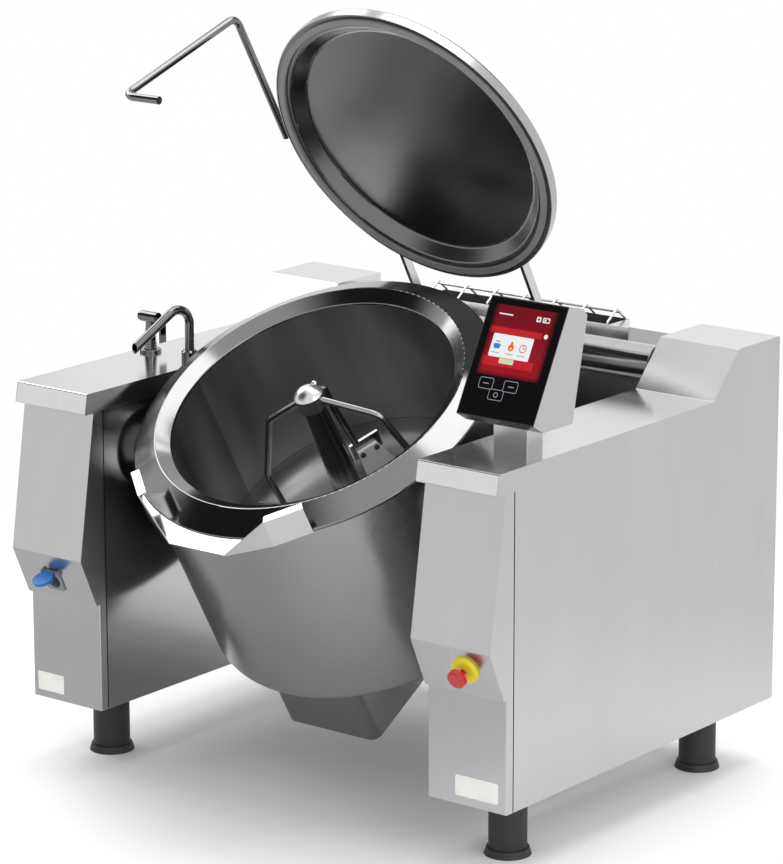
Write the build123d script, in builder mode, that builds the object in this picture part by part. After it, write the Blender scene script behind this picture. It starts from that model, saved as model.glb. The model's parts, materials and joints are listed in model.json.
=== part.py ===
from build123d import *
import os
from math import asin, atan2, cos, degrees, hypot, radians, sin, sqrt, tan

# A tilting steam jacketed kettle with a mixer, in millimetres.
# X runs across the machine, +Y to the back, +Z up, and the floor is z = 0.

os.makedirs("parts", exist_ok=True)

# ---- Sheet metal and fits ----
sheet = 2.0                 # casing sheet
bend = 3.0                  # outer radius of a folded edge
vessel_sheet = 3.0          # pan and jacket
running_fit = 0.05          # radial clearance of a shaft in its bearing
loose_fit = 0.3             # clearance of a part that only passes through

# ---- Pillars ----
side_room = 51.4            # from the kettle's shell to a pillar
pillar_width = 185.0
rear_reach = 155.0          # from the lid's hinge to the back
base_z = 131.0              # underside of the pillars
deck_z = 793.4              # top of the front deck
box_top_z = 884.4           # top of the raised rear box
slope_foot_reach = 76.9     # in front of the lid's hinge
slope_top_reach = 9.6       # behind it
lip_y = -391.5              # front edge of the deck
lip_depth = 42.0
lip_lean = 7.3              # how far the lip's lower edge stands forward
lip_return = 38.0
fascia_top_y = -371.2
nose_y = -417.3
nose_z = 454.1
chin_y = -372.6
chin_z = 354.0
kick_y = -364.4
seam_y = -344.0
seam_gap = 3.0
base_thickness = 4.0
edge_gap = 0.1              # between a panel's cut edge and a fold

# ---- Base frame and feet ----
rail_size = 40.0
rail_wall = 3.0
rail_front_y = -335.0
crossbar_inset = 38.0       # from the back
post_depth = 60.0
foot_front_y = -234.4
foot_rear_inset = 132.0     # from the back
foot_radius = 31.75
foot_wall = 3.0
sleeve_radius = 37.5
sleeve_height = 113.0
sleeve_floor = 10.0
foot_flange_radius = 46.0
foot_flange_height = 14.0

# ---- Control housing ----
housing_width = 178.0
glass_bottom_y = -283.0
glass_bottom_z = 861.0
glass_top_y = -173.0
glass_top_z = 1067.0
glass_thickness = 4.0
glass_ledge = 12.0
display_margin = 20.0
display_thickness = 22.0
neck_width = 78.0
neck_front_y = -234.0
neck_rear_y = -185.0
neck_height = 49.6
housing_chin = 31.0         # how far the underside starts behind the glass's foot
housing_tail = 25.0         # underside past the neck
housing_heel = (32.0, 30.0)  # back and up from the neck and the underside
housing_back = (57.5, 25.0)  # back and down from the glass's top
housing_brow = (44.0, 11.0)

# ---- Emergency stop and service socket, placed down the face from the nose ----
estop_offset = 22.2         # outward from the middle of the pillar
estop_drop = 46.4
estop_radius = 29.0
estop_dish = 8.0
estop_shank_radius = 11.0
estop_shank_length = 26.0
estop_block_width = 30.0
estop_block_height = 42.0
estop_stem_radius = 6.0
mushroom_radius = 19.0
mushroom_seat = 24.0
mushroom_height = 13.0
socket_offset = 4.5
socket_drop = 64.3
socket_side = 46.0
socket_plate = 3.0
socket_bore = 17.0
socket_wall = 2.5
socket_depth = 38.0
cap_radius = 22.0
cap_thickness = 7.0
cap_pin_radius = 1.2
cap_lug = 5.0

# ---- Blank plates on the kick panels ----
plate_thickness = 1.0
right_plate_width = 100.0
right_plate_height = 41.0
right_plate_offset = 23.5   # outward from the middle of the pillar
right_plate_z = 168.5
left_plate_width = 70.0
left_plate_height = 39.0
left_plate_offset = 44.5
left_plate_z = 165.5

# ---- Swivel tap ----
tap_inset = 35.0            # from the pillar's inner face
tap_y = -39.5
tap_radius = 9.5
tap_wall = 1.5
tap_nut_radius = 17.0
tap_nut_height = 22.0
tap_shank_length = 34.0
tap_heading = 260.0         # degrees from +X
tap_reach = 142.0
tap_outlet_height = 46.0
tap_slope = 32.0            # degrees below level
tap_bend = 32.0

# ---- Hand shower ----
shower_inset = 35.5         # from the pillar's outer face
shower_y = -30.4
shower_flange_radius = 22.5
shower_flange_height = 6.6
shower_spigot_radius = 9.0
shower_spigot_length = 30.0
shower_bush_radius = 13.0
shower_waist_radius = 11.5
shower_column_height = 62.0
shower_head_radius = 11.5
shower_head_length = 42.0
shower_head_height = 73.0
lever_pivot_x = 26.0
lever_thickness = 4.0
lever_width = 14.0
lever_drop = 44.0
lever_pin_radius = 2.0

# ---- Rear cross housing and flue ----
shelf_z = 853.0
rear_housing_depth = 110.0
rear_housing_bottom = 470.0
flue_side_room = 180.0      # from the flue's opening to a pillar
flue_opening = 67.0
flue_rear_edge = 5.0        # from the opening to the back
flue_wall = 3.0
flue_height = 18.0
flue_ear = 50.0             # how far each end of the tray stands past the opening
flue_ear_taper = 32.0
duct_depth = 63.0
guard_wire = 2.5            # wire radius
guard_count = 7
guard_end_gap = 6.0
guard_rise = 25.0
guard_apex_reach = 32.0     # in front of the opening's rear edge

# ---- Kettle body ----
trunnion_y = -192.2
trunnion_z = 644.3
rim_back = 76.7             # rim centre behind the trunnion axis, kettle upright
rim_rise = 157.4            # rim plane above the trunnion axis
rest_tilt = 30.7            # degrees forward
shell_top_radius = 363.6
shell_flare = 5.3           # the shell's bottom is this much wider
mouth_inset = 72.3          # pan's mouth inside the shell
pan_mouth_h = -18.0
pan_flare = 4.7
pan_bottom_h = -392.0
knuckle_radius = 63.0
rim_lip = 4.0
ridge_inset = 44.8          # rim's ridge inside the shell
collar_overhang = 9.6       # collar's edge outside the shell
collar_h = -29.2
collar_sheet = 2.0
shell_top_h = -40.0
shell_bottom_h = -471.9
shell_corner = 12.0
jacket_top_h = -110.0
jacket_inset = 33.6
jacket_shoulder = 25.0
jacket_bottom_h = -432.0

# ---- Pouring spout, in the kettle's plan ----
spout_tip_half = 70.2
spout_tip_reach = 36.8      # beyond the collar's edge
spout_knee_angle = 23.32    # degrees from the front
spout_knee_reach = 20.6
spout_root_angle = 34.8
spout_root_reach = 2.3
spout_seat = 1.2            # floor and cheeks start this far inside the collar's corner
spout_floor_h = -30.6
spout_cheek_h = 29.0
spout_flange = 17.0
spout_sheet = 2.5

# ---- Trunnions, bearings and tilt drive ----
boss_radius = 80.0
trunnion_side_gap = 29.0    # from the boss to the pillar
hub_radius = 45.0
hub_length = 14.0
trunnion_radius = 30.0
bearing_plate = 160.0
bearing_plate_thickness = 14.0
bearing_boss_radius = 55.0
bearing_boss_length = 24.0
drive_box = 150.0
drive_length = 125.0
drive_motor_radius = 60.0
drive_motor_length = 200.0
trunnion_end_margin = 15.0
trunnion_drive_reach = 75.0

# ---- Mixer drive cover under the shell ----
cover_front = 301.7
cover_rear = 150.0
cover_half_width = 115.3
cover_bottom_h = -637.3
cover_corner = 20.0
mixer_box = 150.0
mixer_box_height = 100.0
mixer_motor_radius = 52.0
mixer_motor_length = 200.0

# ---- Mixer ----
shaft_radius = 14.0
shaft_depth = 68.0          # into the gear unit
column_bore = 18.0
column_top_h = -28.5
column_top_radius = 21.4
column_waist_h = -220.0
column_waist_radius = 31.0
column_foot_radius = 37.5
column_gap = 0.5
bush_length = 30.0
hub_cap_radius = 30.0
hub_shoulder_h = 2.0
hub_crown_h = 18.0
arm_radius = 7.0
arm_bend = 30.0
high_holder_h = -160.0
scraper_height = 88.0       # of a low scraper with its holder
scraper_gap = 4.0           # above the pan's bottom
holder_thickness = 6.0
holder_height = 36.0
holder_lap = 18.0
scraper_thickness = 8.0
rear_scraper_drop = 57.0    # from its top to its shoulder
screw_radius = 3.0
screw_head_radius = 5.5
screw_head = 3.5
left_arm_angle = 190.0      # degrees from +X toward the back, about the kettle axis
right_arm_angle = 10.0
rear_arm_angle = 62.0

# ---- Lid ----
hinge_room = 139.9          # from the upright kettle's shell to the hinge
hinge_z = 829.0
lid_open = 61.13            # degrees from the level, closed lid
lid_overhang = 4.0          # lid's edge outside the rim's ridge
lid_skirt = 22.0
lid_shoulder_inset = 6.8
lid_shoulder_q = 26.0
lid_dome_inset = 60.8
lid_dome_q = 42.0
lid_crown_q = 46.0
seal_gap = 1.5              # lid ring above the rim's ridge
lid_ring_width = 32.8
lid_recess_inset = 55.8
lid_recess_q = 27.0
gasket_inset = 16.8
gasket_width = 12.0
gasket_height = 6.5
lid_arm_x = 156.0
lid_arm_thickness = 8.0
lid_arm_low_q = 18.0
lid_arm_high_q = 38.0
lid_arm_lap = 28.0
tube_radius = 37.0
tube_wall = 3.0
tube_end_gap = 2.0
journal_radius = 15.0
journal_length = 125.0
lid_bearing_radius = 27.0
lid_bearing_length = 30.0
cartridge_length = 95.0
handle_radius = 8.0
handle_root = 16.8          # behind the lid's centre line
handle_knee_inset = 42.6    # inside the lid's edge
handle_overhang = 17.7      # grip in front of the lid's edge
handle_drop = 347.4
handle_q = 3.0
handle_stand_off = 10.2
handle_grip = 90.0
handle_bend = 25.0

# ---- Places worked out from the sizes above ----
shell_bottom_radius = shell_top_radius + shell_flare
pan_mouth_radius = shell_top_radius - mouth_inset
pan_seam_radius = pan_mouth_radius + pan_flare
ridge_radius = shell_top_radius - ridge_inset
collar_radius = shell_top_radius + collar_overhang
jacket_radius = shell_top_radius - jacket_inset
lid_radius = ridge_radius + lid_overhang
inner_x = shell_top_radius + side_room
outer_x = inner_x + pillar_width
pillar_x = inner_x + pillar_width / 2
hinge_y = trunnion_y + rim_back + shell_top_radius + hinge_room
rear_y = hinge_y + rear_reach
slope_foot_y = hinge_y - slope_foot_reach
slope_top_y = hinge_y + slope_top_reach
lip_z = deck_z - lip_depth
lip_low_y = lip_y - lip_lean
seam_front = seam_y - seam_gap / 2
seam_back = seam_y + seam_gap / 2
slope_angle = atan2(box_top_z - deck_z, slope_top_y - slope_foot_y)
bay_width = pillar_width - 2 * sheet
floor_z = base_z + base_thickness


def cover_line(drop):
    """Foot and top of the cover's slope, at a depth below its outer face."""
    shift = drop * tan(slope_angle / 2)
    return [(slope_foot_y + shift, deck_z - drop), (slope_top_y + shift, box_top_z - drop)]


def chin_plane(x, drop):
    """Plane on the fascia's lower face, its local y up the face, at a distance from the nose."""
    length = hypot(chin_y - nose_y, chin_z - nose_z)
    along_y = (chin_y - nose_y) / length
    along_z = (chin_z - nose_z) / length
    centre = (x, nose_y + drop * along_y, nose_z + drop * along_z)
    return Plane(origin=centre, x_dir=(1, 0, 0), z_dir=(0, along_z, -along_y))


def export_pair(part, name):
    """Write a right-hand pillar piece and its mirror image."""
    for side, piece in (("right", part), ("left", mirror(part, about=Plane.YZ))):
        piece.label = f"{side}_{name}"
        export_step(piece, f"parts/{piece.label}.step")


estop_plane = chin_plane(pillar_x + estop_offset, estop_drop)
socket_plane = chin_plane(-pillar_x - socket_offset, socket_drop)
trunnion_axis_plane = Plane(origin=(0, trunnion_y, trunnion_z), x_dir=(0, 1, 0), z_dir=(1, 0, 0))
hinge_axis_plane = Plane(origin=(0, hinge_y, hinge_z), x_dir=(0, 1, 0), z_dir=(1, 0, 0))

# The kettle's own frame: x across, y to the kettle's back, z along its axis from the rim plane.
tilt = radians(rest_tilt)
kettle_axis = Vector(0, -sin(tilt), cos(tilt))
kettle_back = Vector(0, cos(tilt), sin(tilt))
rim_centre = Vector(0, trunnion_y, trunnion_z) + kettle_back * rim_back + kettle_axis * rim_rise
kettle_top = Plane(origin=rim_centre, x_dir=(1, 0, 0), z_dir=kettle_axis)
kettle_section = Plane(origin=rim_centre, x_dir=(1, 0, 0), z_dir=-kettle_back)
kettle_side = Plane(origin=rim_centre, x_dir=kettle_back, z_dir=(1, 0, 0))
mixer_axis = Axis(rim_centre, kettle_axis)

# The lid's own frame, swung open about the hinge tube from its place on the upright kettle.
closed_y = trunnion_y + rim_back - hinge_y
closed_z = trunnion_z + rim_rise - hinge_z
swing = radians(-lid_open)
lid_centre = Vector(
    0,
    hinge_y + closed_y * cos(swing) - closed_z * sin(swing),
    hinge_z + closed_y * sin(swing) + closed_z * cos(swing),
)
lid_up = Vector(0, -sin(swing), cos(swing))
lid_back = Vector(0, cos(swing), sin(swing))
lid_plane = Plane(origin=lid_centre, x_dir=(1, 0, 0), z_dir=lid_up)
lid_section = Plane(origin=lid_centre, x_dir=(1, 0, 0), z_dir=-lid_back)
lid_side = Plane(origin=lid_centre, x_dir=lid_back, z_dir=(1, 0, 0))
lid_axis = Axis(lid_centre, lid_up)


# ==== Pillars ====

# Outer side panel: its front edge carries the end of the deck's lip.
with BuildPart() as side_panel:
    with BuildSketch(Plane.YZ.offset(outer_x - sheet)):
        with BuildLine():
            FilletPolyline(
                (lip_y, deck_z), (lip_low_y, lip_z), (seam_back, lip_z), (seam_back, base_z),
                (rear_y, base_z), (rear_y, box_top_z), *reversed(cover_line(0)),
                radius=bend, close=True,
            )
        make_face()
    extrude(amount=sheet)
export_pair(side_panel.part, "side_panel")

# Inner panel, with the holes that the trunnion, the lid's journal and the crossbar pass through.
crossbar_y = rear_y - crossbar_inset
with BuildPart() as inner_panel:
    with BuildSketch(Plane.YZ.offset(inner_x)):
        with BuildLine():
            Polyline(
                (seam_back, base_z), (rear_y, base_z), (rear_y, box_top_z - sheet - edge_gap),
                *reversed(cover_line(sheet + edge_gap)), (seam_back, deck_z - sheet - edge_gap),
                close=True,
            )
        make_face()
        with Locations((trunnion_y, trunnion_z)):
            Circle(trunnion_radius + 4 * sheet, mode=Mode.SUBTRACT)
        with Locations((hinge_y, hinge_z)):
            Circle(journal_radius + sheet, mode=Mode.SUBTRACT)
        with Locations((crossbar_y, floor_z + rail_size * 1.5)):
            Rectangle(rail_size + 2 * loose_fit, rail_size + 2 * loose_fit, mode=Mode.SUBTRACT)
    extrude(amount=sheet)
export_pair(inner_panel.part, "inner_panel")


def front_fascia(plane, hole_radius):
    """Folded front of the right pillar: leaning front, nose, chin and side returns to the seam."""
    lean = (fascia_top_y - nose_y) / (lip_z - nose_z)
    past = sheet + 1
    with BuildPart() as fascia:
        with BuildSketch(Plane.YZ.offset(inner_x)):
            with BuildLine():
                Polyline(
                    (fascia_top_y, lip_z), (nose_y, nose_z), (chin_y, chin_z),
                    (seam_front, chin_z), (seam_front, lip_z), close=True,
                )
            make_face()
        extrude(amount=pillar_width)
        fillet(fascia.edges().filter_by(Axis.X).group_by(Axis.Y)[0], radius=bend)
        with BuildSketch(Plane.YZ.offset(inner_x + sheet)):
            with BuildLine():
                Polyline(
                    (fascia_top_y + lean * past, lip_z + past), (nose_y, nose_z), (chin_y, chin_z),
                    (seam_front + past, chin_z), (seam_front + past, lip_z + past), close=True,
                )
            make_face()
            offset(amount=-sheet, kind=Kind.INTERSECTION)
        extrude(amount=bay_width, mode=Mode.SUBTRACT)
        with BuildSketch(plane):
            Circle(hole_radius)
        extrude(amount=sheet * 2, both=True, mode=Mode.SUBTRACT)
    return fascia.part


right_fascia = front_fascia(estop_plane, estop_shank_radius + loose_fit)
right_fascia.label = "right_front_fascia"
export_step(right_fascia, "parts/right_front_fascia.step")

mirrored_socket_plane = chin_plane(pillar_x + socket_offset, socket_drop)
left_fascia = mirror(
    front_fascia(mirrored_socket_plane, socket_bore + socket_wall + loose_fit), about=Plane.YZ
)
left_fascia.label = "left_front_fascia"
export_step(left_fascia, "parts/left_front_fascia.step")

# Kick panel: a channel folded back to the seam on both sides.
with BuildPart() as kick_panel:
    with BuildSketch(Plane.XY.offset(base_z)):
        with BuildLine():
            FilletPolyline(
                (outer_x, seam_front), (outer_x, kick_y), (inner_x, kick_y), (inner_x, seam_front),
                radius=bend,
            )
            offset(amount=sheet, side=Side.RIGHT)
        make_face()
    extrude(amount=chin_z - base_z)
export_pair(kick_panel.part, "kick_panel")

# Deck, slope and raised box top in one folded sheet, with a front lip and an inner flange.
with BuildPart() as top_cover:
    with BuildSketch(Plane.YZ.offset(inner_x - sheet)):
        with BuildLine():
            FilletPolyline(
                (lip_low_y + lip_return, lip_z), (lip_low_y, lip_z), (lip_y, deck_z),
                *cover_line(0), (rear_y, box_top_z), radius=bend,
            )
            offset(amount=sheet, side=Side.RIGHT)
        make_face()
    extrude(amount=pillar_width)
    with BuildSketch(Plane.YZ.offset(inner_x - sheet)):
        with BuildLine():
            FilletPolyline(
                (lip_low_y, lip_z), (lip_y, deck_z), *cover_line(0), (rear_y, box_top_z),
                (rear_y, box_top_z - lip_depth), *reversed(cover_line(lip_depth)),
                radius=bend, close=True,
            )
        make_face()
        with Locations((hinge_y, hinge_z)):
            Circle(journal_radius + sheet, mode=Mode.SUBTRACT)
    extrude(amount=sheet)

top_cover.part.label = "right_top_cover"
export_step(top_cover.part, "parts/right_top_cover.step")

# The left deck has holes for the tap and the hand shower.
tap_x = -inner_x - tap_inset
shower_x = shower_inset - outer_x
with BuildPart() as left_top_cover:
    add(mirror(top_cover.part, about=Plane.YZ))
    with BuildSketch(Plane.XY.offset(deck_z - 2 * sheet)):
        with Locations((tap_x, tap_y)):
            Circle(tap_radius + 2 * tap_wall + loose_fit)
        with Locations((shower_x, shower_y)):
            Circle(shower_bush_radius + loose_fit)
    extrude(amount=4 * sheet, mode=Mode.SUBTRACT)
left_top_cover.part.label = "left_top_cover"
export_step(left_top_cover.part, "parts/left_top_cover.step")

with BuildPart() as rear_panel:
    with BuildSketch(Plane.XZ.offset(-rear_y)):
        with Locations((pillar_x, (floor_z + box_top_z - sheet) / 2)):
            Rectangle(bay_width, box_top_z - sheet - floor_z)
    extrude(amount=sheet)
export_pair(rear_panel.part, "rear_panel")

with BuildPart() as base_plate:
    with BuildSketch(Plane.XY.offset(base_z)):
        with Locations((pillar_x, (kick_y + rear_y) / 2)):
            Rectangle(bay_width, rear_y - kick_y - 2 * sheet)
    extrude(amount=base_thickness)
    fillet(base_plate.edges().filter_by(Axis.Z), radius=bend)
export_pair(base_plate.part, "base_plate")

# ==== Base frame and feet ====

inner_rail_x = inner_x + sheet + rail_size / 2
outer_rail_x = outer_x - sheet - rail_size / 2
rail_length = rear_y - sheet - rail_front_y
rail_z = floor_z + rail_size / 2
post_bottom = floor_z + rail_size
post_top = trunnion_z - bearing_plate / 2
with BuildPart() as base_frame:
    with BuildSketch(Plane.XZ.offset(-rail_front_y)):
        with Locations(*[(side * x, rail_z) for side in (-1, 1) for x in (inner_rail_x, outer_rail_x)]):
            Rectangle(rail_size, rail_size)
            Rectangle(rail_size - 2 * rail_wall, rail_size - 2 * rail_wall, mode=Mode.SUBTRACT)
    extrude(amount=-rail_length)
    with BuildSketch(Plane.YZ.offset(-outer_x + sheet)):
        with Locations((crossbar_y, rail_z + rail_size)):
            Rectangle(rail_size, rail_size)
            Rectangle(rail_size - 2 * rail_wall, rail_size - 2 * rail_wall, mode=Mode.SUBTRACT)
    extrude(amount=2 * (outer_x - sheet))
    with BuildSketch(Plane.XY.offset(post_bottom)):
        with Locations((inner_rail_x, trunnion_y), (-inner_rail_x, trunnion_y)):
            Rectangle(rail_size, post_depth)
            Rectangle(rail_size - 2 * rail_wall, post_depth - 2 * rail_wall, mode=Mode.SUBTRACT)
    extrude(amount=post_top - post_bottom)
base_frame.part.label = "base_frame"
export_step(base_frame.part, "parts/base_frame.step")

foot_places = [(side * pillar_x, y) for side in (-1, 1) for y in (foot_front_y, rear_y - foot_rear_inset)]
foot_taper = degrees(atan2(foot_flange_radius - sleeve_radius, 2 * foot_flange_height))
with BuildPart() as foot_tubes:
    with BuildSketch(Plane.XY.offset(sleeve_floor)):
        with Locations(*foot_places):
            Circle(foot_radius)
            Circle(foot_radius - foot_wall, mode=Mode.SUBTRACT)
    extrude(amount=base_z - sleeve_floor)
foot_tubes.part.label = "foot_tubes"
export_step(foot_tubes.part, "parts/foot_tubes.step")

with BuildPart() as foot_sleeves:
    with BuildSketch():
        with Locations(*foot_places):
            Circle(sleeve_radius)
    extrude(amount=sleeve_height)
    with BuildSketch():
        with Locations(*foot_places):
            Circle(foot_flange_radius)
    extrude(amount=foot_flange_height, taper=foot_taper)
    with BuildSketch(Plane.XY.offset(sleeve_floor)):
        with Locations(*foot_places):
            Circle(foot_radius)
    extrude(amount=sleeve_height, mode=Mode.SUBTRACT)
foot_sleeves.part.label = "foot_sleeves"
export_step(foot_sleeves.part, "parts/foot_sleeves.step")

# ==== Control housing on the right pillar ====

glass_length = hypot(glass_top_y - glass_bottom_y, glass_top_z - glass_bottom_z)
glass_lean = degrees(atan2(glass_top_z - glass_bottom_z, glass_top_y - glass_bottom_y))
glass_mid_y = (glass_bottom_y + glass_top_y) / 2
glass_mid_z = (glass_bottom_z + glass_top_z) / 2
glass_normal = (0, -sin(radians(glass_lean)), cos(radians(glass_lean)))
glass_plane = Plane(origin=(pillar_x, glass_mid_y, glass_mid_z), x_dir=(1, 0, 0), z_dir=glass_normal)
housing_bottom = deck_z + neck_height
housing_outline = [
    (glass_bottom_y, glass_bottom_z),
    (glass_bottom_y + housing_chin, housing_bottom),
    (neck_rear_y + housing_tail, housing_bottom),
    (neck_rear_y + housing_heel[0], housing_bottom + housing_heel[1]),
    (glass_top_y + housing_back[0], glass_top_z - housing_back[1]),
    (glass_top_y + housing_brow[0], glass_top_z - housing_brow[1]),
    (glass_top_y, glass_top_z),
]
with BuildPart() as control_housing:
    with BuildSketch(Plane.YZ.offset(pillar_x - housing_width / 2)):
        with BuildLine():
            Polyline(*housing_outline, close=True)
        make_face()
    extrude(amount=housing_width)
    with BuildSketch(Plane.YZ.offset(pillar_x - housing_width / 2 + sheet)):
        with BuildLine():
            Polyline(*housing_outline, close=True)
        make_face()
        offset(amount=-sheet, kind=Kind.INTERSECTION)
        with Locations((glass_mid_y, glass_mid_z)):
            Rectangle(
                glass_length, 2 * (glass_thickness + sheet), rotation=glass_lean, mode=Mode.SUBTRACT
            )
    extrude(amount=housing_width - 2 * sheet, mode=Mode.SUBTRACT)
    with BuildSketch(glass_plane):
        Rectangle(housing_width - 2 * sheet, glass_length - 2 * sheet)
    extrude(amount=-glass_thickness, mode=Mode.SUBTRACT)
    with BuildSketch(glass_plane):
        Rectangle(housing_width - 2 * glass_ledge, glass_length - 2 * glass_ledge)
    extrude(amount=-glass_thickness - 2 * sheet, mode=Mode.SUBTRACT)
control_housing.part.label = "control_housing"
export_step(control_housing.part, "parts/control_housing.step")

with BuildPart() as touch_glass:
    with BuildSketch(glass_plane):
        Rectangle(housing_width - 2 * sheet - loose_fit, glass_length - 2 * sheet - loose_fit)
    extrude(amount=-glass_thickness)
touch_glass.part.label = "touch_glass"
export_step(touch_glass.part, "parts/touch_glass.step")

with BuildPart() as display_module:
    with BuildSketch(glass_plane.offset(-glass_thickness)):
        Rectangle(housing_width - 2 * display_margin, glass_length - 2 * display_margin)
    extrude(amount=-display_thickness)
display_module.part.label = "display_module"
export_step(display_module.part, "parts/display_module.step")

with BuildPart() as housing_neck:
    with BuildSketch(Plane.XY.offset(deck_z)):
        with Locations((pillar_x, (neck_front_y + neck_rear_y) / 2)):
            Rectangle(neck_width, neck_rear_y - neck_front_y)
            Rectangle(neck_width - 2 * sheet, neck_rear_y - neck_front_y - 2 * sheet, mode=Mode.SUBTRACT)
    extrude(amount=neck_height)
    fillet(housing_neck.edges().filter_by(Axis.Z).group_by(SortBy.LENGTH)[-1], radius=sheet / 2)
housing_neck.part.label = "housing_neck"
export_step(housing_neck.part, "parts/housing_neck.step")

# ==== Emergency stop ====

with BuildPart() as estop_collar:
    with BuildSketch(estop_plane):
        Circle(estop_radius)
    extrude(amount=estop_dish, taper=15)
    with BuildSketch(estop_plane):
        Circle(estop_shank_radius)
    extrude(amount=-estop_shank_length)
    with BuildSketch(estop_plane.offset(-estop_shank_length)):
        Rectangle(estop_block_width, estop_block_height)
    extrude(amount=-estop_shank_length)
    with BuildSketch(estop_plane.offset(estop_dish)):
        Circle(estop_stem_radius + running_fit)
    extrude(amount=-estop_dish - 1.5 * estop_shank_length, mode=Mode.SUBTRACT)
estop_collar.part.label = "estop_collar"
export_step(estop_collar.part, "parts/estop_collar.step")

with BuildPart() as estop_button:
    with BuildSketch(estop_plane.offset(-estop_shank_length)):
        Circle(estop_stem_radius)
    extrude(amount=estop_shank_length + mushroom_seat)
    with BuildSketch(estop_plane.offset(mushroom_seat)):
        Circle(mushroom_radius)
    extrude(amount=mushroom_height)
    fillet(estop_button.faces().sort_by(Axis(estop_plane.origin, estop_plane.z_dir))[-1].edges(), radius=5)
estop_button.part.label = "estop_button"
export_step(estop_button.part, "parts/estop_button.step")

# ==== Service socket with a sprung cover that stands open ====

socket_tube = socket_bore + socket_wall
lug_inner = socket_side / 2 - cap_lug
cap_knuckle = 2 * cap_pin_radius
pin_up = socket_side / 2 - 2
pin_out = socket_plate + loose_fit + cap_knuckle
cap_middle = socket_plate + loose_fit + cap_thickness / 2
socket_side_plane = Plane(socket_plane.origin, x_dir=socket_plane.y_dir, z_dir=(1, 0, 0))
with BuildPart() as socket_body:
    with BuildSketch(socket_plane):
        RectangleRounded(socket_side, socket_side, 4)
    extrude(amount=socket_plate)
    with BuildSketch(socket_plane):
        Circle(socket_tube)
    extrude(amount=-socket_depth)
    with BuildSketch(socket_plane.offset(socket_plate)):
        Circle(socket_bore)
    extrude(amount=-socket_depth - socket_plate + socket_wall, mode=Mode.SUBTRACT)
    with BuildSketch(socket_plane.offset(socket_wall - socket_depth)):
        with PolarLocations(socket_bore / 2, 4):
            Circle(2)
    extrude(amount=socket_depth / 2)
    with BuildSketch(socket_plane):
        with Locations((-lug_inner - cap_lug / 2, pin_up), (lug_inner + cap_lug / 2, pin_up)):
            Rectangle(cap_lug, 2 * cap_lug)
    extrude(amount=pin_out + cap_knuckle)
    with BuildSketch(socket_side_plane):
        with Locations((pin_up, pin_out)):
            Circle(cap_pin_radius + running_fit)
    extrude(amount=socket_side / 2, both=True, mode=Mode.SUBTRACT)
socket_body.part.label = "socket_body"
export_step(socket_body.part, "parts/socket_body.step")

# The round cap stands square to the face, its knuckle and pin between the two lugs.
cap_origin = socket_plane.from_local_coords((0, pin_up + cap_middle - pin_out, pin_out + pin_up))
cap_plane = Plane(origin=cap_origin, x_dir=(1, 0, 0), z_dir=socket_plane.y_dir)
with BuildPart() as socket_cover:
    with BuildSketch(cap_plane):
        Circle(cap_radius)
    extrude(amount=cap_thickness / 2, both=True)
    fillet(socket_cover.edges().filter_by(GeomType.CIRCLE), radius=1.5)
    with BuildSketch(socket_side_plane):
        with Locations((pin_up, pin_out)):
            Circle(cap_knuckle)
    extrude(amount=lug_inner - loose_fit, both=True)
    with BuildSketch(socket_side_plane):
        with Locations((pin_up, pin_out)):
            Circle(cap_pin_radius)
    extrude(amount=lug_inner + cap_lug, both=True)
socket_cover.part.label = "socket_cover"
export_step(socket_cover.part, "parts/socket_cover.step")

# ==== Blank plates on the kick panels ====

with BuildPart() as blank_plates:
    with BuildSketch(Plane.XZ.offset(-kick_y)):
        with Locations((pillar_x + right_plate_offset, right_plate_z)):
            RectangleRounded(right_plate_width, right_plate_height, 5)
        with Locations((-pillar_x - left_plate_offset, left_plate_z)):
            RectangleRounded(left_plate_width, left_plate_height, 2)
    extrude(amount=plate_thickness)
blank_plates.part.label = "blank_plates"
export_step(blank_plates.part, "parts/blank_plates.step")

# ==== Swivel tap on the left deck ====

heading = radians(tap_heading)
tap_plane = Plane(
    origin=(tap_x, tap_y, deck_z), x_dir=(cos(heading), sin(heading), 0),
    z_dir=(sin(heading), -cos(heading), 0),
)
tap_fall = tan(radians(tap_slope))
tap_outer = tap_radius + 2 * tap_wall
with BuildPart() as tap_base:
    with BuildSketch(Plane.XY.offset(deck_z)):
        with Locations((tap_x, tap_y)):
            Circle(tap_nut_radius)
    extrude(amount=tap_nut_height)
    chamfer(tap_base.edges().group_by(Axis.Z)[-1], length=2 * sheet)
    with BuildSketch(Plane.XY.offset(deck_z)):
        with Locations((tap_x, tap_y)):
            Circle(tap_outer)
    extrude(amount=-tap_shank_length)
    with BuildSketch(Plane.XY.offset(deck_z - tap_shank_length)):
        with Locations((tap_x, tap_y)):
            Circle(tap_radius - tap_wall)
    extrude(amount=tap_shank_length + tap_nut_height, mode=Mode.SUBTRACT)
    with BuildSketch(Plane.XY.offset(deck_z)):
        with Locations((tap_x, tap_y)):
            Circle(tap_radius + running_fit)
    extrude(amount=tap_nut_height, mode=Mode.SUBTRACT)
tap_base.part.label = "tap_base"
export_step(tap_base.part, "parts/tap_base.step")

with BuildPart() as tap_spout:
    with BuildLine(tap_plane) as tap_path:
        FilletPolyline(
            (0, loose_fit), (0, tap_outlet_height + tap_reach * tap_fall),
            (tap_reach + tap_radius, tap_outlet_height - tap_radius * tap_fall), radius=tap_bend,
        )
    with BuildSketch(tap_path.line ^ 0):
        Circle(tap_radius)
        Circle(tap_radius - tap_wall, mode=Mode.SUBTRACT)
    sweep()
    outlet = tap_plane.from_local_coords((tap_reach, 0, 0))
    split(bisect_by=Plane(origin=outlet, z_dir=tap_plane.x_dir), keep=Keep.BOTTOM)
tap_spout.part.label = "tap_spout"
export_step(tap_spout.part, "parts/tap_spout.step")

# ==== Hand shower ====

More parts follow.
